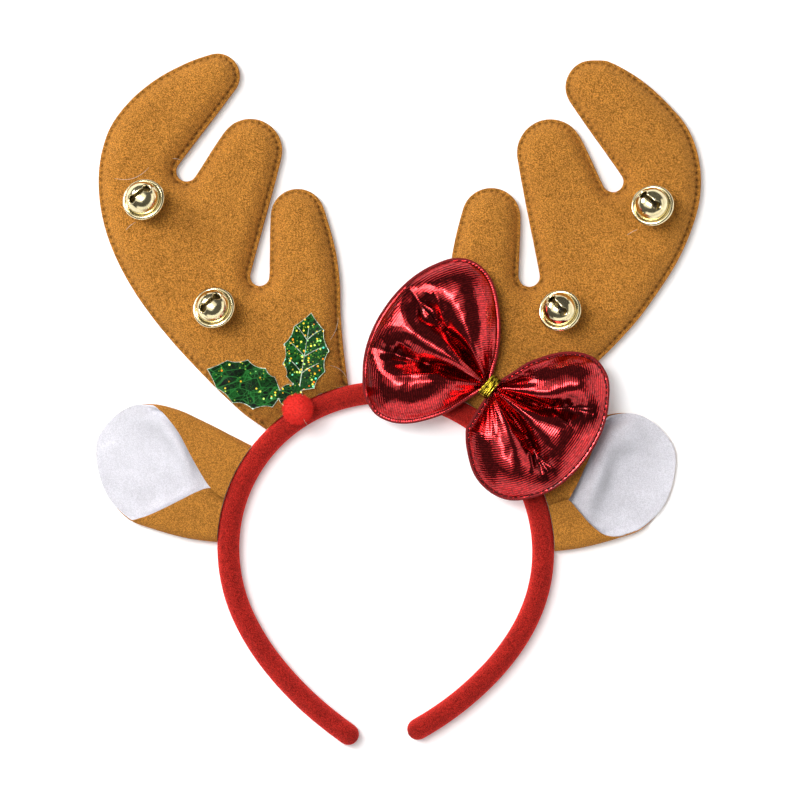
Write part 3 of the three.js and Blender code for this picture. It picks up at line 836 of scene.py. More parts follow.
def nearest(points, line, closed=False):
    """Each point's distance to a line of points, and how far along the line its nearest place is."""
    starts, ends = (line, np.roll(line, -1, 0)) if closed else (line[:-1], line[1:])
    run = ends - starts
    size = np.maximum(np.linalg.norm(run, axis=1), 1e-9)
    along = np.concatenate([[0], np.cumsum(size)[:-1]])
    gaps, places = [], []
    for some in np.array_split(points, max(1, len(points) // NEAREST_AT_ONCE)):
        offset = some[:, None] - starts[None]
        t = np.clip((offset * run).sum(2) / size ** 2, 0, 1)
        gap = ((offset - t[..., None] * run) ** 2).sum(2)
        best = gap.argmin(1)
        rows = np.arange(len(some))
        gaps.append(np.sqrt(gap[rows, best]))
        places.append(along[best] + t[rows, best] * size[best])
    return np.concatenate(gaps), np.concatenate(places)


def within(points, loop):
    """Which points lie inside a closed loop."""
    (x0, y0), (x1, y1) = loop.T, np.roll(loop, -1, 0).T
    rise = np.where(y1 == y0, 1e-12, y1 - y0)
    found = []
    for some in np.array_split(points, max(1, len(points) // WITHIN_AT_ONCE)):
        x, y = some[:, :1], some[:, 1:]
        crossed = ((y0 > y) != (y1 > y)) & (x < x0 + (y - y0) * (x1 - x0) / rise)
        found.append(crossed.sum(1) % 2 == 1)
    return np.concatenate(found)


def fill(outer, inside=(), hole=None):
    """Triangles through the points of an outline, those inside it and those of a hole, in that order."""
    loops = [outer] if hole is None else [outer, hole]
    parts = [outer, inside] if hole is None else [outer, inside, hole]
    points = np.concatenate([np.reshape(part, (-1, 2)) for part in parts])
    edges = []
    for loop, first in zip(loops, (0, len(outer) + len(inside))):
        edges += [(first + i, first + (i + 1) % len(loop)) for i in range(len(loop))]
    made = delaunay_2d_cdt([Vector(point) for point in points], edges, [], 0, 1e-7)
    source = np.array([found[0] for found in made[3]])
    triangles = source[np.array(made[2])]
    middle = points[triangles].mean(1)
    kept = within(middle, outer)
    if hole is not None:
        kept &= ~within(middle, hole)
    return points, triangles[kept]


def cover(outline, offsets, spacing, fine):
    """Points and triangles over an outline's area: rows along its edge, then an even grid."""
    direction = inward(outline)
    rows = []
    for offset in offsets:
        stride = 1 if offset < fine else 2
        row = outline[::stride] + offset * direction[::stride]
        rows.append(row[nearest(row, outline, True)[0] > 0.97 * offset])
    low, high = outline.min(0), outline.max(0)
    across, up = np.meshgrid(
        np.arange(low[0], high[0], spacing), np.arange(low[1], high[1], spacing * math.sqrt(0.75)))
    across[1::2] += spacing / 2
    grid = np.stack([across.ravel(), up.ravel()], axis=1)
    grid = grid[within(grid, outline)]
    grid = grid[nearest(grid, outline, True)[0] > offsets[-1] + 0.6 * spacing]
    return fill(outline, np.concatenate([*rows, grid]))


def waves(points, size, seed, count=7):
    """A smooth random height from -1 to 1 over points, with bumps about size across."""
    random = np.random.default_rng(seed)
    directions = unit(random.normal(size=(count, points.shape[1])))
    pace = 2 * math.pi / size * random.uniform(0.6, 1.4, count)
    phase = random.uniform(0, 2 * math.pi, count)
    return np.sin(points @ directions.T * pace + phase).sum(1) / count * 1.6


def lumpy(points, *layers, seed=0):
    """The height of several layers of random lumps over points."""
    return sum(layer.height * waves(points, layer.size, layer.seed + seed) for layer in layers)


def grid_faces(rows, columns, wrap=False, first=0):
    """Quads over a grid of points, row by row."""
    i, j = np.meshgrid(np.arange(rows - 1), np.arange(columns if wrap else columns - 1), indexing="ij")
    k = (j + 1) % columns
    quads = [i * columns + j, i * columns + k, (i + 1) * columns + k, (i + 1) * columns + j]
    return np.stack(quads, axis=-1).reshape(-1, 4) + first


def grid_edge(rows, columns):
    """The points round the edge of a grid, in order."""
    return np.concatenate([
        np.arange(columns), np.arange(2, rows) * columns - 1,
        np.arange(rows * columns - 1, (rows - 1) * columns - 1, -1),
        np.arange(rows - 2, 0, -1) * columns])


def band(first, second, flip=False):
    """Quads between two closed loops of equally many points."""
    quads = np.stack([first, np.roll(first, -1), np.roll(second, -1), second], axis=1)
    return quads[:, [0, 3, 2, 1]] if flip else quads


def ball(subdivisions, radius):
    """The points and triangles of an even ball."""
    shape = bmesh.new()
    bmesh.ops.create_icosphere(shape, subdivisions=subdivisions, radius=radius)
    points = np.array([vertex.co for vertex in shape.verts])
    triangles = np.array([[vertex.index for vertex in face.verts] for face in shape.faces])
    shape.free()
    return points, triangles


def tubes(paths, radius, sides=6):
    """Round strands along several paths of equally many points, each closed at its ends."""
    count, stations, _ = paths.shape
    ahead = unit(np.gradient(paths, axis=1))
    aside = unit(np.cross(ahead, np.array([0.0, 0.0, 1.0])) + np.array([1e-6, 0, 0]))
    above = np.cross(aside, ahead)
    angle = all_round(sides)
    swell = np.broadcast_to(radius, (stations,))[None, :, None, None]
    ring = np.cos(angle)[:, None] * aside[:, :, None] + np.sin(angle)[:, None] * above[:, :, None]
    points = (paths[:, :, None] + swell * ring).reshape(-1, 3)
    one = grid_faces(stations, sides, wrap=True)
    caps = np.array([range(sides - 1, -1, -1), range((stations - 1) * sides, stations * sides)])
    starts = (np.arange(count) * stations * sides)[:, None, None]
    return points, [(one + starts).reshape(-1, 4), (caps + starts).reshape(-1, sides)]


def ribbons(roots, ways, lifts, width, seed):
    """Short bent fibres: each a strip of two quads from its root along its way, lifted at its middle."""
    random = np.random.default_rng(seed)
    aside = unit(np.cross(ways, unit(random.normal(size=ways.shape)))) * width / 2
    stations = [roots, roots + 0.55 * ways + lifts, roots + ways + 0.6 * lifts]
    points = np.stack([station + sign * aside for station in stations for sign in (-1, 1)], axis=1)
    strip = np.array([[0, 1, 3, 2], [2, 3, 5, 4]])
    faces = (strip + (np.arange(len(roots)) * 6)[:, None, None]).reshape(-1, 4)
    return points.reshape(-1, 3), [faces]


def make_piece(
        name, points, faces, materials, replaces=(), indices=None, closed=True, sharp=60, shade=None):
    """Makes a mesh piece from points in millimetres, and puts it on the headband's one body."""
    mesh = bpy.data.meshes.new(name)
    mesh.from_pydata((points * MM).tolist(), [], [face for group in faces for face in group.tolist()])
    for material in materials:
        mesh.materials.append(material)
    if indices is not None:
        mesh.polygons.foreach_set("material_index", np.asarray(indices, np.int32))
    if closed:
        shape = bmesh.new()
        shape.from_mesh(mesh)
        bmesh.ops.recalc_face_normals(shape, faces=shape.faces)
        shape.to_mesh(mesh)
        shape.free()
    # Painted shade and light, kept in each point's shade attribute for the materials to read
    if shade is not None:
        print_scuffs_and_painted_shade = mesh.attributes.new("shade", "FLOAT", "POINT")
        print_scuffs_and_painted_shade.data.foreach_set("value", np.asarray(shade, np.float32))
    mesh.shade_smooth()
    mesh.set_sharp_from_angle(angle=math.radians(sharp))
    piece = bpy.data.objects.new(name, mesh)
    bpy.context.scene.collection.objects.link(piece)
    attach(piece, "root")
    if replaces:
        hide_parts(*replaces)
    return piece


def turned(points, degrees):
    """Points turned about the Z axis."""
    angle = math.radians(degrees)
    spin = np.array([[math.cos(angle), math.sin(angle)], [-math.sin(angle), math.cos(angle)]])
    flat = points[..., :2] @ spin
    return np.concatenate([flat, points[..., 2:]], axis=-1)


# Hoop


def hoop_side(arcs, side):
    """Points down one side of the hoop's centre line, with the outward direction at each."""
    centre = HOOP_TOP - np.array([0, arcs[0].radius])
    turn, last = 0.0, arcs[0].radius
    made = []
    for arc in arcs:
        centre = centre + (last - arc.radius) * np.array([side * math.sin(turn), math.cos(turn)])
        sweep = math.radians(arc.sweep)
        angles = turn + sweep * np.linspace(0, 1, math.ceil(sweep * arc.radius / HOOP_STEP) + 1)[:-1]
        out = np.stack([side * np.sin(angles), np.cos(angles)], axis=1)
        made.append(np.concatenate([centre + arc.radius * out, out], axis=1))
        turn, last = turn + sweep, arc.radius
    out = np.array([side * math.sin(turn), math.cos(turn)])
    made.append(np.concatenate([centre + last * out, out])[None])
    return np.concatenate(made)


def hoop_line():
    """The hoop's centre line from its left tip to its right tip, and the outward directions."""
    rows = np.concatenate([hoop_side(HOOP_LEFT, -1)[::-1], hoop_side(HOOP_RIGHT, 1)[1:]])
    return rows[:, :2], rows[:, 2:]


class HEADBAND_OT_hoop(bpy.types.Operator):
    """Make the felt-covered hoop with its rounded tips"""

    bl_idname = "headband.hoop"
    bl_label = "Hoop"

    SIDES = 44
    TIP_ANGLES = (12, 24, 36, 48, 60, 70, 78, 84, 88)
    LEFT_LONGER = 3.0
    CREASE_ANGLE = 62
    CREASE_WIDTH = 9
    CREASE_DEPTH = 0.22
    LUMPS = (Lumps(0.13, 9, 3), Lumps(0.08, 3.5, 4))
    LOWEST = 0.02
    # Painted shade on the top of the cover and painted sheen on its flanks
    TOP_PAINTED_SHADE = 0.78
    FLANKS_PAINTED_SHEEN = 0.9

    def execute(self, context):
        felt = context.scene.headband.felt
        points, faces = self.shape()
        material = felt_surface("red_felt", felt.red, felt.flecks, dark=0.3, light=1.75)
        # Painted light round the tube: darker on top, lighter on the flanks
        around = self.TOP_PAINTED_SHADE + self.FLANKS_PAINTED_SHEEN * np.abs(np.cos(all_round(self.SIDES))) ** 4
        shade = np.tile(around, len(points) // self.SIDES)
        make_piece("headband_felt", points, faces, [material], ["headband"], shade=shade)
        return {"FINISHED"}

    def shape(self):
        at, out = hoop_line()
        ahead = unit(at[0] - at[3])
        at = np.concatenate([[at[0] + self.LEFT_LONGER * ahead], at])
        out = np.concatenate([out[:1], out])
        middle = int(np.argmax(at[:, 1]))
        down = np.abs(np.arange(len(at)) - middle) / max(middle, len(at) - 1 - middle)
        radius = TUBE_RADIUS + (TIP_RADIUS - TUBE_RADIUS) * down ** 3
        rings = [self.ring(*station) for station in zip(at, out, radius)]
        first, last = (self.tip(at[i], out[i], at[i] - at[j]) for i, j in ((0, 3), (-1, -4)))
        points = self.soften(np.concatenate([*first[::-1], *rings, *last]))
        ends = np.array([range(self.SIDES), range(len(points) - 1, len(points) - 1 - self.SIDES, -1)])
        return points, [grid_faces(len(points) // self.SIDES, self.SIDES, wrap=True), ends]

    def ring(self, at, out, radius):
        """A ring of the tube, with the crease that runs along its cover."""
        angle = all_round(self.SIDES)
        reach = radius - self.CREASE_DEPTH * hump(np.degrees(angle), self.CREASE_WIDTH, self.CREASE_ANGLE)
        flat = at + (reach * np.cos(angle))[:, None] * out
        return raised(flat, TUBE_RADIUS + np.minimum(reach, TUBE_RADIUS) * np.sin(angle))

    def tip(self, at, out, ahead):
        """Rings that close an end of the tube in a half ball."""
        made = []
        for degrees in self.TIP_ANGLES:
            angle = math.radians(degrees)
            forward = TIP_RADIUS * math.sin(angle) * unit(ahead)
            made.append(self.ring(at + forward, out, TIP_RADIUS * math.cos(angle)))
        return made

    def soften(self, points):
        """Gives the cover the slight lumps of glued felt."""
        moved = points.copy()
        moved[:, 2] += lumpy(points, *self.LUMPS) * (points[:, 2] > TUBE_RADIUS)
        moved[:, 2] = np.clip(moved[:, 2], self.LOWEST, None)
        return moved


# Antlers


class HEADBAND_OT_antlers(bpy.types.Operator):
    """Make the padded felt antlers with their topstitched rims"""

    bl_idname = "headband.antlers"
    bl_label = "Antlers"

    # Points along the edge, rows in from it, and the even grid in the middle
    SPACING = 0.45
    OFFSETS = (0.18, 0.42, 0.8, 1.25, 1.55, 1.8, 2.05, 2.35, 2.75, 3.3, 4.1, 5.2, 6.6)
    FINE = 2.9
    GRID = 1.5
    # The hoop covers the outline where it comes this near to the hoop's centre line
    BASE_REACH = 6.2
    # The rim rolls over on edges that look left or up, and its seam lies further out there
    SHOWN_WAY = np.array([0.83, -0.56])
    SHOWN_FROM = (-0.3, 0.5)
    SHOWN_BLEND = 25
    ROLLED_INSET = 1.35
    # On the right antler the rim shows only beyond these places
    SHOWN_RIGHT = (96, 101)
    SHOWN_BELOW = (58, 66)
    SHOWN_ABOVE = (119, 124)
    # How dark the painted shade in the needle holes is on a rolled rim, how much darker on an open one,
    # and the share that is lost where the right antler's rim doesn't show
    HOLE_SHADE_ROLLED = 0.8
    HOLE_SHADE_OPEN_MORE = 0.2
    HOLE_SHADE_LOST = 0.85
    # Felt
    EDGE_ROUND = 0.55
    EDGE_DROP = 0.4
    GROOVE_ROLLED = 0.05
    GROOVE_DEEPER = 0.22
    GROOVE_WIDTH = 0.4
    HOLE_DEPTH = 0.45
    HOLE_WIDTH = 0.45
    ROLL = 8.5
    ROLL_POWER = 2.3
    PUCKER = 0.3
    PUCKER_WIDTH = 0.9
    LEAST = 0.1
    # The padding leaves room for its lumps, which are whole on a panel that stands this tall
    LUMP_ROOM = 0.25
    LUMPS_WHOLE = 6
    LUMPS = (Lumps(0.3, 42, 0), Lumps(0.12, 15, 1))
    SEEDS = {("left", 1): 16, ("left", -1): 14, ("right", 1): 17, ("right", -1): 15}
    # Padding and light left at the base, the light as painted shade, and how far on each is whole again
    BASE_SHARE = 0.62
    BASE_FLAT = 6
    BASE_PAINTED_SHADE_REACH = 9
    # Painted shade in the needle holes, along the seam and low on the walls
    HOLE_PAINTED_SHADE = 0.72
    HOLE_SHADE_ACROSS = 0.55
    HOLE_SHADE_ALONG = 0.75
    SEAM_PAINTED_SHADE = 0.16
    SEAM_SHADE_ACROSS = 0.6
    FLOOR_PAINTED_SHADE = 0.6
    # Stitches, of which the first and last few are left out
    STITCHES_OUT = 2
    STITCH_STATIONS = 7
    STITCH_START = 0.16
    STITCH_RUN = 0.68
    THREAD_SUNK = 0.5
    THREAD_ARCH = 0.34
    THREAD_END = 0.55
    THREAD_SWELL = 0.45

    def execute(self, context):
        settings = context.scene.headband
        felt = felt_surface("brown_felt", settings.felt.brown, settings.felt.flecks, dark=0.3, light=1.72)
        thread = thread_surface("brown_thread", tinted(settings.felt.brown, 0.9))
        for side in ("left", "right"):
            self.make(side, settings.seam, felt, thread)
        return {"FINISHED"}

    def make(self, side, seam, felt, thread):
        outline = smooth_loop(flat_outline(f"antler_{side}_front", FRONT_SEAM), self.SPACING)
        at_base = nearest(outline, hoop_line()[0])[0] < self.BASE_REACH
        first = int(np.flatnonzero(at_base & ~np.roll(at_base, -1))[0]) + 1
        outline, at_base = np.roll(outline, -first, 0), np.roll(at_base, -first)
        self.sewn, base = outline[~at_base], outline[at_base]
        self.facing, self.hole_shade = (part[: len(self.sewn)] for part in self.rim_shows(outline, side))
        self.gone = walked(self.sewn)
        self.inset, self.pitch = seam.inset / MM, seam.pitch / MM
        points, triangles = cover(outline, self.OFFSETS, self.GRID, self.FINE)
        edge, along = nearest(points, self.sewn)
        from_base, _ = nearest(points, base)
        shade = self.shade(edge, along, from_base)
        for face, direction, tall in (("front", 1, ANTLER_TOP - SEAM_HEIGHT), ("back", -1, SEAM_HEIGHT)):
            rise = self.height(points, edge, along, from_base, tall, self.SEEDS[side, direction])
            top = raised(points, SEAM_HEIGHT + direction * rise)
            self.panel(f"antler_{side}_{face}", top, triangles, felt, shade)
        self.stitches(side, outline, seam.thread / MM, thread)

    def rim_shows(self, outline, side):
        """How openly the rim shows, on edges that look right or down, and its holes' painted shade."""
        facing = step(-inward(outline) @ self.SHOWN_WAY, *self.SHOWN_FROM)
        hole_shade = self.HOLE_SHADE_ROLLED + self.HOLE_SHADE_OPEN_MORE * facing
        if side == "right":
            x, y = outline.T
            outer = np.maximum(step(x, *self.SHOWN_RIGHT), 1 - step(y, *self.SHOWN_BELOW))
            outer = np.maximum(outer, step(y, *self.SHOWN_ABOVE))
            facing, hole_shade = facing * outer, hole_shade * (1 - self.HOLE_SHADE_LOST * facing * (1 - outer))
        return [averaged(part, self.SHOWN_BLEND, "wrap") for part in (facing, hole_shade)]

    def seam(self, along):
        """How openly the rim shows at places along the seam, and how far in the stitches lie."""
        facing = np.interp(along, self.gone, self.facing)
        return facing, self.ROLLED_INSET + (self.inset - self.ROLLED_INSET) * facing

    def to_hole(self, along):
        """How far places along the seam are from the nearest needle hole."""
        return (along + self.pitch / 2) % self.pitch - self.pitch / 2

    def height(self, points, edge, along, from_base, tall, seed):
        """How far the felt stands from the seam: a flat rim, a stitched groove and a padded middle."""
        facing, inset = self.seam(along)
        past = edge - inset
        rim = FELT - self.EDGE_DROP * eased(edge, self.EDGE_ROUND)
        groove = (self.GROOVE_ROLLED + self.GROOVE_DEEPER * facing) * hump(past, self.GROOVE_WIDTH)
        hole = np.exp(-(past / self.HOLE_WIDTH) ** 2 - (self.to_hole(along) / self.HOLE_WIDTH) ** 2)
        part = np.clip(past / self.ROLL, 0, 1)
        puff = (tall - FELT - self.LUMP_ROOM) * (1 - (1 - part) ** self.ROLL_POWER)
        pucker = self.PUCKER * hump(past, self.PUCKER_WIDTH, self.PUCKER_WIDTH)
        pucker = pucker * np.cos(2 * math.pi * along / self.pitch)
        lumps = lumpy(points, *self.LUMPS, seed=seed) * part * min(1, tall / self.LUMPS_WHOLE)
        padding = (puff - pucker * (part > 0) + lumps) * self.at_base(from_base, self.BASE_FLAT)
        return np.clip(rim - groove - self.HOLE_DEPTH * hole + padding, self.LEAST, tall)

    def at_base(self, from_base, reach):
        """A share that is less at the antler's base and whole from a reach on."""
        return self.BASE_SHARE + (1 - self.BASE_SHARE) * step(from_base, 0, reach)

    def shade(self, edge, along, from_base):
        """Painted shade in the needle holes, along the seam and where the antler goes behind the hoop."""
        facing, inset = self.seam(along)
        past = edge - inset
        across, beside = past / self.HOLE_SHADE_ACROSS, self.to_hole(along) / self.HOLE_SHADE_ALONG
        hole = np.exp(-across ** 2 - beside ** 2) * np.interp(along, self.gone, self.hole_shade)
        seam = hump(past, self.SEAM_SHADE_ACROSS) * facing
        base = self.at_base(from_base, self.BASE_PAINTED_SHADE_REACH)
        return (1 - self.HOLE_PAINTED_SHADE * hole - self.SEAM_PAINTED_SHADE * seam) * base

    def panel(self, name, top, triangles, felt, shade):
        """Closes a panel with walls round its edge and a flat floor at the seam."""
        loop = edge_loops(triangles)[0]
        outline = top[loop][:, :2]
        _, under = fill(outline)
        walls = band(loop, len(top) + np.arange(len(loop)))
        points = np.concatenate([top, raised(outline, SEAM_HEIGHT)])
        # Painted shade low on the walls, towards the seam between the two panels
        shade = np.concatenate([shade, np.full(len(loop), self.FLOOR_PAINTED_SHADE)])
        faces = [triangles, under + len(top), walls]
        piece = make_piece(f"{name}_felt", points, faces, [felt], [name], shade=shade)

    def stitches(self, side, outline, thread, material):
        """Short runs of thread between the needle holes, on both faces."""
        _, inset = self.seam(self.gone)
        line = self.sewn + inset[:, None] * inward(outline)[: len(self.sewn)]
        last = math.floor(self.gone[-1] / self.pitch) - self.STITCHES_OUT
        starts = np.arange(self.STITCHES_OUT, last) * self.pitch
        share = np.linspace(0, 1, self.STITCH_STATIONS)
        at = starts[:, None] + self.pitch * (self.STITCH_START + self.STITCH_RUN * share)
        flat = np.stack([np.interp(at, self.gone, column) for column in line.T], axis=-1)
        arch = np.sin(math.pi * share)
        lift = FELT - self.THREAD_SUNK + self.THREAD_ARCH * arch
        paths = [raised(flat, SEAM_HEIGHT + face * lift) for face in (1, -1)]
        radius = thread * (self.THREAD_END + self.THREAD_SWELL * arch ** 0.5)
        points, faces = tubes(np.concatenate(paths), radius)
        make_piece(f"antler_{side}_stitches", points, faces, [material])


# Ears


class HEADBAND_OT_ears(bpy.types.Operator):
    """Make the ears: brown felt folded forward round white felt"""

    bl_idname = "headband.ears"
    bl_label = "Ears"

    ROWS = 90
    COLUMNS = 41
    # The cloth ends this far from the hoop's centre line
    CLEAR = 4.75
    # The inner felt starts on the outer one, and the outer one's sides are trimmed a little
    OUTER_INSET = 0.3
    INNER_UNDER = FELT + 0.08
    INNER_OVER = 2 * FELT - 0.1
    INNER_SHORTER = 1.4
    OVERLAP_LIFT = 1.3
    # How wide the painted shade on the lower flap beside the upper flap's edge is
    TUCKED_SHADE_WIDTH = 1.8
    RIPPLE = Lumps(0.25, 24, 31)
    LOWEST = 0.02
    LEAST_HALF = 0.02
    # Each flap gets thinner towards its edge, from this share of the way
    THINNER = 0.4
    THINNER_FROM = 0.85
    # Places along the ear between which the flaps part, the ripple sets in and the folds open out
    PARTING = (12, 26)
    RIPPLING = (8, 30)
    OPENING = (37, 52)
    # Places between which the inner felt gets its whole length, one flap stops covering the other and the
    # painted shade beside its edge fades, and the inner felt's swells end
    LENGTHENING = (12, 22)
    UNCOVERING = (12, 18)
    SWELLS_ENDING = (36, 54)
    # Distances from the ear's axis where the upper flap comes down, and from the fold where swells stop
    OVERLAPPING = (1, 9)
    SWELLS_CLEAR = (-3, 0)
    # How dark the painted shade on the lower flap beside the upper flap's edge is
    TUCKED_PAINTED_SHADE = 0.5
    # Painted shade on each swell's fall: where it lies and how wide it is, as shares of the fall
    FALL_PAINTED_SHADE_AT = 0.7
    FALL_PAINTED_SHADE_WIDTH = 0.55
    WHITE_FLECKS = 0.48

    def execute(self, context):
        felt = context.scene.headband.felt
        brown = felt_surface("ear_brown_felt", felt.brown, felt.flecks, dark=0.45, light=1.5)
        white = felt_surface(
            "ear_white_felt", felt.white, felt.flecks * self.WHITE_FLECKS, dark=0.7, light=1.24, nap=0.6)
        for side, ear in EARS.items():
            outer = self.layer(ear, 0.0, FELT, self.OUTER_INSET)
            inner = self.layer(ear, self.INNER_UNDER, self.INNER_OVER, 0.0)
            self.make(f"ear_{side}_outer", outer, brown, "brown_felt")
            self.make(f"ear_{side}_inner", inner, white, "white_felt")
        return {"FINISHED"}

    def layer(self, ear, under, over, inset):
        """The lower face, the middle and the upper face of a layer of cloth."""
        return [self.grid(ear, depth, inset) for depth in (under, (under + over) / 2, over)]

    def grid(self, ear, depth, inset):
        """One face of a layer: rows of points along the ear, each from the lower flap to the upper."""
        along, half, lean = self.outline(inset)
        folds = np.array(ear.folds)
        edges = {
            sign: curve(np.minimum(along, folds[-1, 0]), folds[:, 0], folds[:, column]) - sign * lean
            for column, sign in ((2, -1), (1, 1))}
        lower, upper = (self.flap(ear, sign, depth, along, half, lean, edges) for sign in edges)
        rows = np.concatenate([lower[:, ::-1], upper[:, 1:]], axis=1)
        rows[..., 1] *= ear.mirror
        ripple = lumpy(rows.reshape(-1, 4)[:, :2], self.RIPPLE).reshape(rows.shape[:2])
        rows[..., 2] += ripple * step(along, *self.RIPPLING)[:, None]
        rows = turned(rows, ear.turn)
        rows[..., :2] += np.array([ear.x, ear.y]) + SHIFT
        rows[..., 2] = np.maximum(rows[..., 2], depth + self.LOWEST)
        return self.trim(rows)

    def outline(self, inset):
        """Places along the ear, closer together near its tip, with its half width and lean at each."""
        last = EAR_ROWS[-1]
        table = np.array([*EAR_ROWS, (EAR_TIP, 0, last.lean), (last.along, -last.half, last.lean)])
        gone = walked(table[:, :2])
        at = gone[-2] * closer_at_end(self.ROWS)
        along, half, lean = (curve(at, gone, column) for column in table.T)
        half = np.maximum(half - inset * step(along, *self.PARTING), self.LEAST_HALF)
        return np.minimum(along, EAR_TIP - inset), half, lean

    def flap(self, ear, sign, depth, along, half, lean, edges):
        """One side of the cloth: out from the ear's axis, round the fold and back to the flap's edge."""
        share = np.linspace(0, 1, self.COLUMNS)[None]
        thick = depth * (1 - self.THINNER * step(share, self.THINNER_FROM, 1))
        radius = np.minimum(EAR_FOLD, half)
        inner = depth > FELT
        fold = edges[sign]
        if inner:
            fold = fold + self.INNER_SHORTER * (1 - step(along, *self.LENGTHENING))
        angle, back = self.turn_over(along, half, fold, radius)
        flat = half - radius * np.sin(np.minimum(angle, math.pi / 2))
        run = share * (flat + radius * angle + back)[:, None]
        out, up = self.bend(flat[:, None], radius[:, None], run, thick)
        shade = np.ones(out.shape)
        folded = run > (flat + math.pi * radius)[:, None]
        if ear.over == sign:
            up = up + self.OVERLAP_LIFT * (1 - step(out, *self.OVERLAPPING)) * folded
        else:
            # Painted shade on the lower flap where it goes under the upper flap's edge
            past = np.maximum(out + edges[ear.over][:, None], 0)
            tucked_shade_mask = hump(past, self.TUCKED_SHADE_WIDTH) * (1 - step(along, *self.UNCOVERING))[:, None]
            shade = shade - self.TUCKED_PAINTED_SHADE * tucked_shade_mask * folded
        if inner:
            beside = (step(along, *self.PARTING) * (1 - step(along, *self.SWELLS_ENDING)))[:, None]
            beside = beside * (1 - step(run - flat[:, None], *self.SWELLS_CLEAR))
            swell, dark = self.swell(ear, sign * run, edges)
            up = up + swell * beside
            # Painted shade on the fall of each swell
            shade = shade - dark * beside
        there = np.broadcast_to(along[:, None], out.shape)
        # The fourth column is each point's painted shade
        return np.stack([there, lean[:, None] + sign * out, up, shade], axis=-1)

    def turn_over(self, along, half, fold, radius):
        """How far round the cloth turns at its edge, and how far it comes back over itself."""
        angle = math.pi - np.arcsin(np.clip((fold - half + radius) / radius, 0, 1))
        return angle * (1 - step(along, *self.OPENING)), np.maximum(half - radius - fold, 0)

    def swell(self, ear, across, edges):
        """The inner felt swells up beside the free edge of each flap, then falls towards the middle, and
        the painted shade on that fall.
        """
        swell, dark = np.zeros(across.shape), np.zeros(across.shape)
        for sign, beside in zip((-1, 1), ear.swells):
            past = sign * across - edges[sign][:, None] + beside.apart
            swell += beside.tall * hump(past, np.where(past < 0, beside.fall, beside.apart))
            middle, width = self.FALL_PAINTED_SHADE_AT * beside.fall, self.FALL_PAINTED_SHADE_WIDTH * beside.fall
            dark += beside.shade * hump(past + middle, width)
        return swell, dark

    @staticmethod
    def bend(flat, radius, run, depth):
        """Cloth that lies flat, turns over in a fold of some radius and comes back."""
        angle = np.clip((run - flat) / radius, 0, math.pi)
        inside = radius - depth
        back = np.maximum(run - flat - math.pi * radius, 0)
        out = np.minimum(run, flat) + inside * np.sin(angle) - back
        return out, radius - inside * np.cos(angle)

    def trim(self, rows):
        """Ends each column of the cloth where it meets the hoop."""
        gap = nearest(rows[..., :2].reshape(-1, 2), hoop_line()[0])[0].reshape(rows.shape[:2])
        made = np.empty_like(rows)
        index = np.arange(self.ROWS)
        for j in range(rows.shape[1]):
            start = 0
            blocked = np.flatnonzero(gap[:, j] < self.CLEAR)
            if len(blocked):
                low = blocked[-1]
                start = low + (self.CLEAR - gap[low, j]) / max(gap[low + 1, j] - gap[low, j], 1e-6)
            at = np.linspace(start, self.ROWS - 1, self.ROWS)
            made[:, j] = np.stack([np.interp(at, index, column) for column in rows[:, j].T], axis=1)
        return made

    def make(self, name, grids, material, slot):
        """Closes a layer with a rounded rim, and works out the cloth's flat size."""
        under, middle, over = (grid.reshape(-1, 4) for grid in grids)
        rows, columns = grids[0].shape[:2]
        count = len(under)
        ring = grid_edge(rows, columns)
        rim = 2 * count + np.arange(len(ring))
        faces = [
            grid_faces(rows, columns), grid_faces(rows, columns, first=count)[:, ::-1],
            band(ring, rim, flip=True), band(rim, ring + count, flip=True)]
        points = np.concatenate([under, over, middle[ring]])
        piece = make_piece(
            f"{name}_felt", points[:, :3], faces, [material], [name], shade=points[:, 3])
        cloth = self.size(grids[1][..., :3])

    @staticmethod
    def size(grid):
        """The cloth's flat width, length and area in metres, measured over its folds."""
        across = np.linalg.norm(np.diff(grid, axis=1), axis=2).sum(1).max()
        along = np.linalg.norm(np.diff(grid, axis=0), axis=2).sum(0).max()
        one = np.cross(grid[1:, :-1] - grid[:-1, :-1], grid[:-1, 1:] - grid[:-1, :-1])
        two = np.cross(grid[:-1, 1:] - grid[1:, 1:], grid[1:, :-1] - grid[1:, 1:])
        total = (np.linalg.norm(one, axis=2).sum() + np.linalg.norm(two, axis=2).sum()) / 2
        return across * MM, along * MM, total * MM ** 2


# Bells


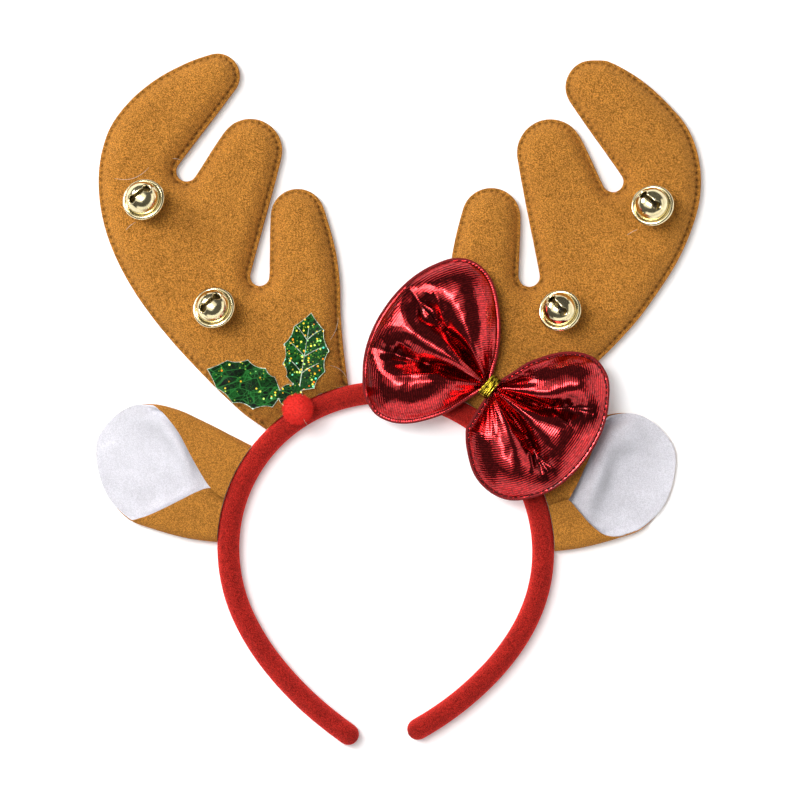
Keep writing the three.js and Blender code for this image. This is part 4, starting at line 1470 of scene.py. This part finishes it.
class HEADBAND_OT_bells(bpy.types.Operator):
    """Make the four jingle bells with their rolled slots and loose pellets"""

    bl_idname = "headband.bells"
    bl_label = "Bells"

    SEGMENTS = 96
    DOME_RADIUS = 7.0
    DOME_HEIGHT = 8.05
    # The power of the dome's curve: 2 is an ellipse, and more is squarer
    DOME_POWER = 2.5
    CAP = 7.0
    CAP_RINGS = 0.45
    CAP_CLEAR = 0.2
    FIRST_RING = 0.5
    COARSE_WITHIN = 4
    # The dome and the inside of the front stop at these heights
    DOME_ENDS = 1.35
    INSIDE_ENDS = 1.0
    WALL = 0.75
    # Radius and height of the points in the groove between the dome and the bead
    GROOVE = ((6.9, 1.15), (6.78, 0.9), (6.82, 0.66))
    BEAD_REACH = 8.05
    BEAD_RADIUS = 0.95
    # Angles that the bead turns through to each side, and between which the back is a ball
    BEAD_TURN = 128
    BACK_TURNS = (98, 166)
    BACK = 7.75
    SHANK_RADIUS = 1.6
    SHANK_TOP = -8.0
    SHANK_END = -10.0
    SLOT_HALF = 4.2
    SLOT_HOLE = 1.85
    SLOT_SLIT = 0.62
    LIP_DROP = 0.6
    LIP_ROWS = (0.08, 0.18, 0.3, 0.45, 0.62, 0.8)
    LIP_CLEAR = 0.95
    LIP_ENDS = 0.15
    PELLET = 2.2
    DENTS = Lumps(0.02, 2.5, 17)

    def execute(self, context):
        bell = context.scene.headband.bell
        gold, steel = bell_surface(bell.gold), steel_surface()
        points, faces = self.shell(bell.lip / MM)
        pellet, triangles = ball(3, self.PELLET)
        pellet = pellet * (1 + lumpy(pellet, self.DENTS)[:, None])
        way = math.radians(BELL_TILT_WAY)
        lean = Matrix.Rotation(math.radians(BELL_TILT), 3, Vector((-math.sin(way), math.cos(way), 0)))
        for name, turn in BELL_SLOT_TURNS.items():
            low, high = in_millimetres(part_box(f"bell_{name}_pellet"))
            centre = (low + high) / 2
            spin = np.array(lean @ Matrix.Rotation(math.radians(turn), 3, "Z"))
            placed = points @ spin.T + centre + np.array([0, 0, BELL_OVER_PELLET])
            make_piece(f"bell_{name}_shell", placed, faces, [gold], [f"bell_{name}"], sharp=75)
            node = f"bell_{name}_pellet"
            make_piece(f"{node}_ball", pellet + centre, [triangles], [steel], [node])
        return {"FINISHED"}

    def shell(self, lip):
        """A hollow shell: a front cap with the slot in it, then turned rows down to the shank."""
        slot = self.slot_outline()
        flat, triangles = fill(self.circle(self.CAP), self.cap_points(slot), slot)
        sink = np.where(within(flat, slot), 0, nearest(flat, slot, True)[0])
        outer = self.dome(flat, self.LIP_DROP * eased(sink, lip))
        inner = self.dome(flat, np.full(len(flat), self.WALL))
        count, n = len(flat), self.SEGMENTS
        edge = count - len(slot) + np.arange(len(slot))
        faces = [triangles, triangles[:, ::-1] + count, band(edge, edge + count)]
        points = [outer, inner]
        first = 2 * count
        for start, profile in ((0, self.outer_profile()), (count, self.inner_profile())):
            rows = self.turn(profile)
            points.append(rows)
            faces.append(band(start + np.arange(n), first + np.arange(n), flip=True))
            faces.append(grid_faces(len(profile), n, wrap=True, first=first))
            faces.append((first + (len(profile) - 1) * n + np.arange(n))[None])
            first += len(rows)
        return np.concatenate(points), faces

    def circle(self, radius):
        return radius * on_circle(all_round(self.SEGMENTS))

    def slot_outline(self):
        """A slit with a round hole at each end, with its corners eased."""
        neck = math.asin(self.SLOT_SLIT / self.SLOT_HOLE)
        arc = np.linspace(neck - math.pi, math.pi - neck, 40)
        right = self.SLOT_HOLE * on_circle(arc) + np.array([self.SLOT_HALF, 0])
        reach = right[-1, 0]
        run = np.linspace(reach, -reach, 24)[1:-1]
        upper = np.stack([run, np.full(len(run), self.SLOT_SLIT)], axis=1)
        loop = np.concatenate([right, upper, -right, -upper])
        for _ in range(4):
            loop = (np.roll(loop, 1, 0) + 2 * loop + np.roll(loop, -1, 0)) / 4
        return loop

    def cap_points(self, slot):
        """Points over the cap: rows along the slot's lip, then rings that are coarser in the middle."""
        near = []
        for offset in self.LIP_ROWS:
            row = slot - offset * inward(slot)
            near.append(row[nearest(row, slot, True)[0] > 0.95 * offset])
        near = np.concatenate(near)
        near = near[np.linalg.norm(near, axis=1) < self.CAP - self.LIP_ENDS]
        radii = np.arange(self.FIRST_RING, self.CAP - self.CAP_CLEAR, self.CAP_RINGS)
        strides = np.where(radii > self.COARSE_WITHIN, 1, 2)
        spread = np.concatenate([self.circle(radius)[::stride] for radius, stride in zip(radii, strides)])
        spread = spread[~within(spread, slot)]
        return np.concatenate([near, spread[nearest(spread, slot, True)[0] > self.LIP_CLEAR]])

    def dome_curve(self):
        """The dome's profile from its pole: distance along it, radius, height and outward direction."""
        turn = np.linspace(0, math.pi / 2, 2400)
        radius = self.DOME_RADIUS * np.sin(turn) ** (2 / self.DOME_POWER)
        height = self.DOME_HEIGHT * np.cos(turn) ** (2 / self.DOME_POWER)
        gone = np.concatenate([[0], np.cumsum(np.hypot(np.diff(radius), np.diff(height)))])
        even = np.linspace(0, gone[-1], 400)
        radius, height = np.interp(even, gone, radius), np.interp(even, gone, height)
        return even, radius, height, -np.gradient(height, even), np.gradient(radius, even)

    def dome(self, flat, sink):
        """Wraps flat points over the dome, so that distance from the middle runs along its curve."""
        even, *columns = self.dome_curve()
        reach = np.linalg.norm(flat, axis=1)
        radius, height, out, up = (np.interp(reach, even, column) for column in columns)
        aside = flat / np.maximum(reach, 1e-9)[:, None] * (radius - sink * out)[:, None]
        return raised(aside, height - sink * up)

    def outer_profile(self):
        """Radius and height from the cap's edge over the groove, the bead and the back to the shank."""
        even, radius, height, _, _ = self.dome_curve()
        past_cap = (even > self.CAP + self.CAP_CLEAR) & (height > self.DOME_ENDS)
        dome = np.stack([radius, height], axis=1)[past_cap][::6]
        around = np.radians(np.linspace(self.BEAD_TURN, -self.BEAD_TURN, 22))
        bead = self.BEAD_RADIUS * on_circle(around) + np.array([self.BEAD_REACH, 0])
        angle = np.radians(np.linspace(*self.BACK_TURNS, 16))
        back = self.BACK * np.stack([np.sin(angle), np.cos(angle)], axis=1)
        shank = (
            (self.SHANK_RADIUS, self.SHANK_TOP), (self.SHANK_RADIUS * 0.95, self.SHANK_TOP - 0.6),
            (self.SHANK_RADIUS, self.SHANK_END), (self.SHANK_RADIUS * 0.6, self.SHANK_END - 0.05))
        return np.concatenate([dome, self.GROOVE, bead, back, shank])

    def inner_profile(self):
        """Radius and height down the inside of the shell."""
        even, radius, height, out, up = self.dome_curve()
        front = np.stack([radius - self.WALL * out, height - self.WALL * up], axis=1)
        front = front[(even > self.CAP + self.CAP_CLEAR) & (height > self.INSIDE_ENDS)][::8]
        angle = np.linspace(math.pi / 2, math.pi - 0.06, 20)
        inside = np.array([self.DOME_RADIUS - self.WALL, self.BACK - self.WALL])
        back = inside * np.stack([np.sin(angle), np.cos(angle)], axis=1)
        return np.concatenate([front, back])

    def turn(self, profile):
        """Rows of points from a profile turned about the bell's axis."""
        flat = profile[:, None, :1] * self.circle(1.0)[None]
        return raised(flat, profile[:, 1:]).reshape(-1, 3)


# Holly and berry


class HEADBAND_OT_holly(bpy.types.Operator):
    """Make the glitter-film holly leaves with their veins"""

    bl_idname = "headband.holly"
    bl_label = "Holly"

    TOP = 11.1
    FILM = 0.45
    EDGE = 0.15
    EDGE_ROWS = (EDGE, 0.55, 1.0)
    # Which material a face shows
    SPARKLING, STREAKED, PRINTED = range(3)
    RIPPLE = Lumps(0.18, 11, 41)
    # The film's slope beside a midrib, the lift of its tips from a place on, and its flat base
    SIDE_SLOPE = 0.055
    TIP_LIFT = 0.5
    TIP_FROM = 12
    FLAT_BASE = 9
    # Where the midrib starts and ends, where each pair of side veins leaves it, and how far aside they go
    MIDRIB = (2.0, LEAF_LENGTH - 6)
    SIDE_VEINS = ((7.5, 6.4), (14.5, 7.2), (21.5, 5.4))
    VEIN_FORWARD = 5.2
    VEIN_BOW = 0.35
    VEIN_RADIUS = 0.2
    VEIN_TAPER = 0.6
    VEIN_LIFT = 0.03
    VEIN_STATIONS = 9

    def execute(self, context):
        sprig = context.scene.headband.sprig
        outline = smooth_loop(flat_outline("holly_leaves", self.TOP), spacing=0.45, sharp=32, near=0.05)
        points, triangles = cover(outline, self.EDGE_ROWS, spacing=0.7, fine=0.9)
        edge, _ = nearest(points, outline, True)
        bases = [np.array([leaf.x, leaf.y]) + SHIFT for leaf in LEAVES]
        top = raised(points, self.TOP + self.curl(points, bases))
        bottom = top - np.array([0, 0, self.FILM])
        loop = np.array(edge_loops(triangles)[0])
        count = len(points)
        walls = band(loop, loop + count)
        rim = edge[triangles].min(1) < self.EDGE * 0.5
        left = self.nearer_left(points[triangles].mean(1), bases)
        film = np.where(left, self.STREAKED, self.SPARKLING)
        shown = np.where(rim, self.PRINTED, film)
        indices = np.concatenate([shown, film, np.full(len(walls), self.PRINTED)])
        materials = [
            film_surface("holly_film_sparkling", sprig.green, dotted=0.85, streaks=0.5),
            film_surface("holly_film_streaked", sprig.green, dotted=0.14, streaks=0.9),
            plain_print_surface(sprig.vein),
        ]
        faces = [triangles, triangles[:, ::-1] + count, walls]
        make_piece(
            "holly_leaves_film", np.concatenate([top, bottom]), faces, materials,
            ["holly_leaves"], indices)
        self.veins(bases, materials[self.PRINTED])
        return {"FINISHED"}

    @staticmethod
    def nearer_left(points, bases):
        """Which points belong to the leaf that points left."""
        gaps = []
        for leaf, base in zip(LEAVES, bases):
            ahead = heading(leaf.turn)
            along = np.clip((points - base) @ ahead, 0, LEAF_LENGTH)
            gaps.append(np.linalg.norm(points - base - along[:, None] * ahead, axis=1))
        return gaps[1] < gaps[0]

    def curl(self, points, bases):
        """The film bends up a little on each side of a midrib, and towards each tip."""
        left = self.nearer_left(points, bases)
        made = np.zeros(len(points))
        for leaf, base, mine in zip(LEAVES, bases, (~left, left)):
            ahead = heading(leaf.turn)
            along = (points - base) @ ahead
            aside = np.abs((points - base) @ np.array([-ahead[1], ahead[0]]))
            rise = self.SIDE_SLOPE * aside + self.TIP_LIFT * step(along, self.TIP_FROM, LEAF_LENGTH)
            rise = rise + lumpy(points, self.RIPPLE)
            made = np.where(mine, rise * step(along, 0, self.FLAT_BASE), made)
        return made

    def veins(self, bases, material):
        """A midrib and three pairs of side veins on the leaf that points up."""
        leaf, base = LEAVES[0], bases[0]
        lines = [[(end, 0.0) for end in self.MIDRIB]]
        for along, reach in self.SIDE_VEINS:
            lines += [[(along, 0.0), (along + self.VEIN_FORWARD, sign * reach)] for sign in (-1, 1)]
        share = np.linspace(0, 1, self.VEIN_STATIONS)[:, None]
        bow = self.VEIN_BOW * np.sin(math.pi * share) * np.array([1.0, 0.0])
        paths = []
        for start, end in np.array(lines):
            flat = turned(start + share * (end - start) + bow, leaf.turn) + base
            paths.append(raised(flat, self.TOP + self.curl(flat, bases) + self.VEIN_LIFT))
        points, faces = tubes(np.array(paths), self.VEIN_RADIUS * (1 - self.VEIN_TAPER * share[:, 0] ** 2))
        make_piece("holly_veins", points, faces, [material])


class HEADBAND_OT_berry(bpy.types.Operator):
    """Make the fluffy pompom berry"""

    bl_idname = "headband.berry"
    bl_label = "Berry"

    CORE = 0.93
    TUFTS = Lumps(0.035, 0.9, 51)
    FLUFF = Lumps(0.03, 0.3, 52)
    STRAND = 0.1
    STRAND_LENGTHS = (0.16, 0.3)
    STRAND_LEAN = 0.35
    STRAND_CURL = 0.25
    ROOT_DEPTH = 0.1
    GLUED = 0.4
    SEED = 53

    def execute(self, context):
        sprig = context.scene.headband.sprig
        low, high = in_millimetres(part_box("berry_pompom"))
        radius = (high - low)[0] / 2
        centre = np.array([*((low + high) / 2)[:2], high[2] - radius])
        yarn = yarn_surface(sprig.red)
        ways, triangles = ball(5, 1.0)
        shape = 1 + lumpy(ways, self.TUFTS) + lumpy(ways, self.FLUFF)
        points = centre + radius * self.CORE * ways * shape[:, None]
        points[:, 2] = np.maximum(points[:, 2], low[2])
        make_piece("berry_pompom_core", points, [triangles], [yarn], ["berry_pompom"])
        self.strands(centre, radius, low[2], sprig.strands, yarn)
        return {"FINISHED"}

    def strands(self, centre, radius, floor, count, yarn):
        """Loose yarn ends that stand out of the core on all sides but the glued one."""
        random = np.random.default_rng(self.SEED)
        ways = unit(random.normal(size=(count, 3)))
        ways = ways[centre[2] + radius * ways[:, 2] > floor + self.GLUED]
        lean = unit(ways + self.STRAND_LEAN * random.normal(size=ways.shape))
        roots = centre + radius * (self.CORE - self.ROOT_DEPTH) * ways
        size = radius * random.uniform(*self.STRAND_LENGTHS, (len(ways), 1))
        lifts = self.STRAND_CURL * random.normal(size=ways.shape)
        points, faces = ribbons(roots, lean * size, lifts, self.STRAND, self.SEED + 1)
        make_piece("berry_pompom_strands", points, faces, [yarn], closed=False)


# Bow


class HEADBAND_OT_bow(bpy.types.Operator):
    """Make the bow's padded metallic cloth with its pleats and stitched rim"""

    bl_idname = "headband.bow"
    bl_label = "Bow"

    BINDING = (0.24, 0.01, 0.011)
    THREAD = (0.07, 0.004, 0.005)
    # Which material a face shows
    CLOTH, BOUND, STITCHED = range(3)
    # Points across and along a lobe, for its front and its back
    COLUMNS = {1: 240, -1: 110}
    ROWS = {1: 130, -1: 60}
    NECK_OUT = 1.2
    NECK_HALF = 3.0
    FLANGE = 1.4
    BINDING_WIDTH = 0.9
    EDGE = 0.45
    EDGE_ROUND = 0.4
    EDGE_DROP = 0.25
    GROOVE = 0.12
    GROOVE_WIDTH = 0.35
    ROLL = 16.0
    ROLL_POWER = 2.2
    BACK_PUFF = 4.6
    LEAST = 0.05
    STITCH_PITCH = 2.4
    STITCH_RUN = 1.3
    STITCH_HALF = 0.26
    SAG = Lumps(0.45, 46, 61)
    CRUMPLES = (Lumps(0.3, 13, 63), Lumps(0.1, 5.5, 64))
    POCKET_FOLDS = (Lumps(0.8, 9, 65), Lumps(0.15, 4.5, 66))
    POCKET_LENGTH = 8.0
    POCKET_WIDTH = 5.6
    POCKET_DEPTH = 0.5
    # How dark the painted shade in a pocket is
    POCKET_PAINTED_SHADE = 0.25
    # Reaches from the knot between which the seam rises, its sag sets in, the gathers start and end, and
    # the pleats start, take on their painted shade and fade
    RISING = (3, 26)
    SAGGING = (12, 40)
    GATHERS_START = (2, 6)
    GATHERS_END = (9, 26)
    PLEATS_START = (1, 7)
    PLEATS_PAINTED_SHADE_IN = (6, 16)
    PLEATS_FADE = (30, 52)
    # A pleat bends towards its pocket from this reach on
    BENDING = 20
    PLEAT_LOST = 0.7
    # How dark the painted shade along a pleat's groove is
    PLEAT_PAINTED_SHADE = 0.4
    GATHER = 0.13
    GATHER_PACE = 0.62
    GATHER_WANDER = 0.11
    RIDGE_WIDTH = 0.9

    def execute(self, context):
        bow = context.scene.headband.bow
        materials = [
            lame_surface(bow.red, bow.rib / MM), binding_surface(self.BINDING),
            thread_surface("bow_thread", self.THREAD)]
        for name, face, puff in (("bow_front", 1, bow.puff / MM), ("bow_back", -1, self.BACK_PUFF)):
            lobes = [self.lobe(side, face, puff) for side in ("left", "right")]
            points, faces, indices, shade = zip(*lobes)
            faces = faces[0] + [group + len(points[0]) for group in faces[1]]
            piece = make_piece(
                f"{name}_cloth", np.concatenate(points), faces, materials, [name],
                np.concatenate(indices), sharp=80, shade=np.concatenate(shade))
        return {"FINISHED"}

    def lobe(self, side, face, puff):
        """One lobe's panel: its points, its faces, the material that each face shows, and its painted
        shade.
        """
        neck, rim = self.ends(side, face)
        flat = neck + closer_at_end(self.ROWS[face])[:, None, None] * (rim - neck)
        rows, columns = flat.shape[:2]
        flat = flat.reshape(-1, 2)
        sides = [np.linspace(neck[i], rim[i], 40) for i in (0, -1)]
        edge, along = nearest(flat, np.concatenate([sides[0][:-1], rim, sides[1][-2::-1]]))
        plane = self.plane(flat)
        rise, shade = self.rise(side, face, flat, edge, puff)
        cloth, ring = grid_faces(rows, columns), grid_edge(rows, columns)
        walls = band(ring, len(flat) + np.arange(len(ring)))
        under = self.floor(flat[ring]) + len(flat)
        middle = edge[cloth].mean(1)
        stitched = np.abs(middle - self.FLANGE) < self.STITCH_HALF
        stitched &= along[cloth].mean(1) % self.STITCH_PITCH < self.STITCH_RUN
        stitched &= face > 0 and side == "right"
        shown = np.where(stitched, self.STITCHED, self.CLOTH)
        shown = np.where(middle < self.BINDING_WIDTH, self.BOUND, shown)
        indices = np.concatenate([shown, np.full(len(walls) + len(under), self.BOUND)])
        points = np.concatenate([raised(flat, plane + face * rise), raised(flat[ring], plane[ring])])
        points = turned(points, LOBE_TURNS[side])
        points[:, :2] += KNOT
        return points, [cloth, walls, under], indices, np.concatenate([shade, np.ones(len(ring))])

    def ends(self, side, face):
        """The points where a lobe's columns start at the neck and end at the rim."""
        reaches = np.array(LOBE_REACHES[side])
        spread = np.linspace(-1, 1, self.COLUMNS[face])
        spread = 0.8 * spread + 0.2 * np.sin(spread * math.pi / 2)
        low, high = reaches[0, 0], reaches[-1, 0]
        angle = np.radians((low + high) / 2 + spread * (high - low) / 2)
        rim = curve(np.degrees(angle), reaches[:, 0], reaches[:, 1])[:, None] * on_circle(angle)
        return np.stack([np.full(len(angle), self.NECK_OUT), self.NECK_HALF * spread], axis=1), rim

    @staticmethod
    def floor(outline):
        """Triangles over the flat floor inside an outline that may run either way."""
        if area(outline) < 0:
            return len(outline) - 1 - fill(outline[::-1])[1]
        return fill(outline)[1]

    def plane(self, flat):
        """The height of the seam between the front and back cloth."""
        reach = np.linalg.norm(flat, axis=1)
        rise = step(reach, *self.RISING) * (BOW_LOBE_HEIGHT - BOW_NECK_HEIGHT)
        return BOW_NECK_HEIGHT + rise + lumpy(flat, self.SAG) * step(reach, *self.SAGGING)

    def rise(self, side, face, flat, edge, puff):
        """How far the cloth stands from the seam, with a stitched rim, a puffed middle and pleats, and the
        painted shade in its pleats and pockets."""
        rim = self.EDGE - self.EDGE_DROP * eased(edge, self.EDGE_ROUND)
        groove = self.GROOVE * hump(edge, self.GROOVE_WIDTH, self.FLANGE)
        part = np.clip((edge - self.FLANGE) / self.ROLL, 0, 1)
        swell = 1 - (1 - part) ** self.ROLL_POWER
        if face < 0:
            return np.maximum(rim - groove + puff * swell, self.LEAST), np.ones(len(flat))
        angle = np.degrees(np.arctan2(flat[:, 1], flat[:, 0]))
        reach = np.linalg.norm(flat, axis=1)
        kept, pocket, shade = self.pleats(VALLEYS[side], angle, reach)
        wander = 2 * np.sin(angle * self.GATHER_WANDER)
        gathers = self.GATHER * np.sin(angle * self.GATHER_PACE + wander)
        gathers = gathers * step(reach, *self.GATHERS_START) * (1 - step(reach, *self.GATHERS_END))
        sharp = sum(np.abs(lumpy(flat, layer)) for layer in self.POCKET_FOLDS)
        crumple = lumpy(flat, *self.CRUMPLES) * part + sharp * pocket
        ridges = sum(self.ridge(flat, crease) for crease in CREASES[side])
        folds = (gathers + ridges) * np.minimum(1, 2 * part) + crumple
        return np.maximum(rim - groove + puff * swell * kept + folds, self.LEAST), shade

    def pleats(self, valleys, angle, reach):
        """How much puff the pleats leave, where their crumpled pockets are, and their painted shade."""
        kept, pocket, shade = np.ones(len(angle)), np.zeros(len(angle)), np.ones(len(angle))
        for valley in valleys:
            bend = (valley.pocket_angle - valley.angle) * step(reach, self.BENDING, valley.pocket_reach)
            near = np.clip(1 - np.abs(angle - (valley.angle + bend)) / valley.width, 0, 1)
            fade = 1 - self.PLEAT_LOST * step(reach, *self.PLEATS_FADE)
            depth = valley.depth * step(reach, *self.PLEATS_START) * fade
            ahead = (reach - valley.pocket_reach) / self.POCKET_LENGTH
            aside = np.radians(angle - valley.pocket_angle) * reach / self.POCKET_WIDTH
            dent = np.exp(-ahead ** 2 - aside ** 2)
            kept *= (1 - depth * near ** 2) * (1 - self.POCKET_DEPTH * dent)
            pocket = np.maximum(pocket, dent)
            # Painted shade along each groove and in its pocket
            dark = self.PLEAT_PAINTED_SHADE * near ** 2 * step(reach, *self.PLEATS_PAINTED_SHADE_IN)
            shade *= (1 - dark) * (1 - self.POCKET_PAINTED_SHADE * dent)
        return kept, pocket, shade

    def ridge(self, flat, crease):
        """A sharp fold that swells to its middle and dies out at its ends."""
        ends = np.array([
            crease.reach * heading(crease.angle), crease.to_reach * heading(crease.to_angle)])
        gap, along = nearest(flat, ends)
        share = np.clip(along / np.linalg.norm(ends[1] - ends[0]), 0, 1)
        tall = crease.height * np.sin(math.pi * share) ** 0.7
        return tall * np.exp(-np.abs(gap / self.RIDGE_WIDTH) ** 1.3)


class HEADBAND_OT_tie(bpy.types.Operator):
    """Make the gold strands that tie the bow's middle"""

    bl_idname = "headband.tie"
    bl_label = "Tie"

    ACROSS = 10.2
    TALL = 7.8
    ALONG = 4.6
    CORNER = 2.2
    STATIONS = 72
    SIDES = 8
    THICK_HALF = 0.2
    WIDE_HALF = 0.56
    WANDER = 0.22
    LIFT = 0.12
    SEED = 71

    def execute(self, context):
        bow = context.scene.headband.bow
        random = np.random.default_rng(self.SEED)
        loop = self.loop()
        wide = self.ALONG / bow.strands
        points, faces = [], []
        for k in range(bow.strands):
            first = k * self.STATIONS * self.SIDES
            along = self.ALONG * ((k + 0.5) / bow.strands - 0.5)
            wander = self.WANDER * np.sin(all_round(self.STATIONS) + random.uniform(0, 6))
            lift = random.uniform(-self.LIFT, self.LIFT)
            points.append(self.strand(loop, along + wander, wide * self.WIDE_HALF, lift))
            faces.append(grid_faces(self.STATIONS, self.SIDES, wrap=True) + first)
            start = first + np.arange(self.SIDES)
            faces.append(band(start + (self.STATIONS - 1) * self.SIDES, start))
        placed = turned(np.concatenate(points), BOW_TURN)
        placed[:, :2] += KNOT
        gold = strand_surface(bow.gold)
        make_piece("bow_tie_strands", placed, faces, [gold], ["bow_tie"], sharp=80)
        return {"FINISHED"}

    def loop(self):
        """A rounded rectangle round the bow's neck, as points across and up."""
        corner = on_circle(all_round(self.STATIONS))
        straight = np.array([self.ACROSS / 2 - self.CORNER, self.TALL / 2 - self.CORNER])
        return np.clip(corner * 1.6, -1, 1) * straight + corner * self.CORNER

    def strand(self, loop, along, half, lift):
        """A flat strand with rounded edges that follows the loop."""
        out = unit(np.roll(loop, 1, 0) - np.roll(loop, -1, 0))[:, ::-1] * np.array([-1, 1])
        angle = all_round(self.SIDES)
        push = self.THICK_HALF * np.sin(angle)[None, :] + lift
        ring = loop[:, None] + push[..., None] * out[:, None]
        aside = along[:, None] + half * np.cos(angle)[None, :]
        height = BOW_NECK_HEIGHT + ring[..., 1]
        return np.stack([aside, ring[..., 0], height], axis=-1).reshape(-1, 3)


class HEADBAND_OT_hairs(bpy.types.Operator):
    """Make the few pale hairs that cling to the felt"""

    bl_idname = "headband.hairs"
    bl_label = "Loose hairs"

    COLOUR = (0.85, 0.72, 0.55)
    RADIUS = 0.09
    CLEAR = 0.15
    STATIONS = 15
    GROUNDS = ("antler_left_front_felt", "antler_right_front_felt", "headband_felt", "berry_pompom_core")
    NEAR = 0.8

    def execute(self, context):
        ground = np.concatenate([mesh_points(bpy.data.objects[name].data) for name in self.GROUNDS])
        ground = ground[ground[:, 2] > SEAM_HEIGHT + 0.1]
        share = np.linspace(0, 1, self.STATIONS)[:, None]
        paths = []
        for hair in HAIRS:
            start, end = (np.array(point) + SHIFT for point in (hair.start, hair.end))
            aside = np.array([start[1] - end[1], end[0] - start[0]]) * hair.bow
            flat = start + share * (end - start) + 4 * share * (1 - share) * aside
            gaps = [np.linalg.norm(ground[:, :2] - point, axis=1) for point in flat]
            under = [ground[gap <= max(self.NEAR, gap.min()), 2].max() for gap in gaps]
            paths.append(raised(flat, averaged(under, 5, "edge") + self.RADIUS + self.CLEAR))
        swell = self.RADIUS * (1 - 0.6 * np.abs(2 * share[:, 0] - 1) ** 3)
        points, faces = tubes(np.array(paths), swell, sides=5)
        pale = thread_surface("loose_hair", self.COLOUR)
        make_piece("loose_hairs", points, faces, [pale])
        return {"FINISHED"}


# Stage


class HEADBAND_OT_stage(bpy.types.Operator):
    """Set the pale floor, the soft light and the camera above"""

    bl_idname = "headband.stage"
    bl_label = "Stage"

    # Sizes and places here are metres
    FLOOR_SIZE = 12.0
    FLOOR_HEIGHT = -0.0002
    LENS = 200.0
    SENSOR = 36.0
    FARTHEST = 50.0
    SUN_PLACE = (-0.5, 0.45, 1.0)
    SUN_SPREAD = math.radians(75)
    SURROUNDINGS = 0.11

    def execute(self, context):
        stage = context.scene.headband.stage
        self.floor(stage)
        self.camera(context.scene, stage)
        sun = self.light("even_light", "SUN", self.SUN_PLACE, stage.daylight)
        sun.data.angle = self.SUN_SPREAD
        sun.visible_glossy = False
        for softbox in SOFTBOXES:
            lamp = self.light(softbox.name, "AREA", softbox.place, stage.softbox * softbox.share)
            lamp.data.shape = "RECTANGLE"
            lamp.data.size, lamp.data.size_y = softbox.size
        world = bpy.data.worlds.new("studio")
        context.scene.world = world
        world.use_nodes = True
        background = world.node_tree.nodes["Background"]
        background.inputs["Color"].default_value = (1.0, 1.0, 1.0, 1.0)
        background.inputs["Strength"].default_value = self.SURROUNDINGS
        context.scene.view_settings.view_transform = "Standard"
        return {"FINISHED"}

    def floor(self, stage):
        mesh = bpy.data.meshes.new("floor")
        half = self.FLOOR_SIZE / 2
        corners = [(x * half, y * half, self.FLOOR_HEIGHT) for x, y in ((-1, -1), (1, -1), (1, 1), (-1, 1))]
        mesh.from_pydata(corners, [], [(0, 1, 2, 3)])
        mesh.materials.append(floor_surface(tuple(stage.floor)))
        floor = bpy.data.objects.new("floor", mesh)
        bpy.context.scene.collection.objects.link(floor)

    def camera(self, scene, stage):
        data = bpy.data.cameras.new("camera")
        data.lens, data.sensor_width = self.LENS, self.SENSOR
        camera = bpy.data.objects.new("camera", data)
        height = stage.view * self.LENS / self.SENSOR
        camera.location = (SHIFT[0] * MM, SHIFT[1] * MM, height + ANTLER_TOP * MM)
        data.clip_end = self.FARTHEST
        scene.collection.objects.link(camera)
        scene.camera = camera

    @staticmethod
    def light(name, kind, place, power):
        """Adds a light that faces the middle of the floor and that the camera doesn't see."""
        data = bpy.data.lights.new(name, kind)
        data.energy = power
        lamp = bpy.data.objects.new(name, data)
        lamp.location = place
        lamp.rotation_mode = "QUATERNION"
        lamp.rotation_quaternion = (-Vector(place)).to_track_quat("-Z", "Y")
        lamp.visible_camera = False
        bpy.context.scene.collection.objects.link(lamp)
        return lamp


class HEADBAND_PT_pieces(bpy.types.Panel):
    """The headband's pieces and their settings"""

    bl_idname = "HEADBAND_PT_pieces"
    bl_label = "Reindeer headband"
    bl_space_type = "VIEW_3D"
    bl_region_type = "UI"
    bl_category = "Headband"

    def draw(self, context):
        settings = context.scene.headband
        for maker in MAKERS:
            self.layout.operator(maker.bl_idname)
        for part in settings.__annotations__:
            group = getattr(settings, part)
            box = self.layout.box()
            for name in group.__annotations__:
                box.prop(group, name)


MAKERS = (
    HEADBAND_OT_stage, HEADBAND_OT_hoop, HEADBAND_OT_antlers, HEADBAND_OT_ears, HEADBAND_OT_bells,
    HEADBAND_OT_holly, HEADBAND_OT_berry, HEADBAND_OT_bow, HEADBAND_OT_tie, HEADBAND_OT_hairs,
)
CLASSES = (
    HEADBAND_PG_felt, HEADBAND_PG_seam, HEADBAND_PG_bell, HEADBAND_PG_bow, HEADBAND_PG_sprig,
    HEADBAND_PG_stage, HEADBAND_PG_settings, *MAKERS, HEADBAND_PT_pieces,
)


def register():
    for one in CLASSES:
        bpy.utils.register_class(one)
    bpy.types.Scene.headband = PointerProperty(type=HEADBAND_PG_settings)


def unregister():
    del bpy.types.Scene.headband
    for one in reversed(CLASSES):
        bpy.utils.unregister_class(one)


def main():
    register()
    for maker in MAKERS:
        group, name = maker.bl_idname.split(".")
        getattr(getattr(bpy.ops, group), name)()


if __name__ == "__main__":
    main()
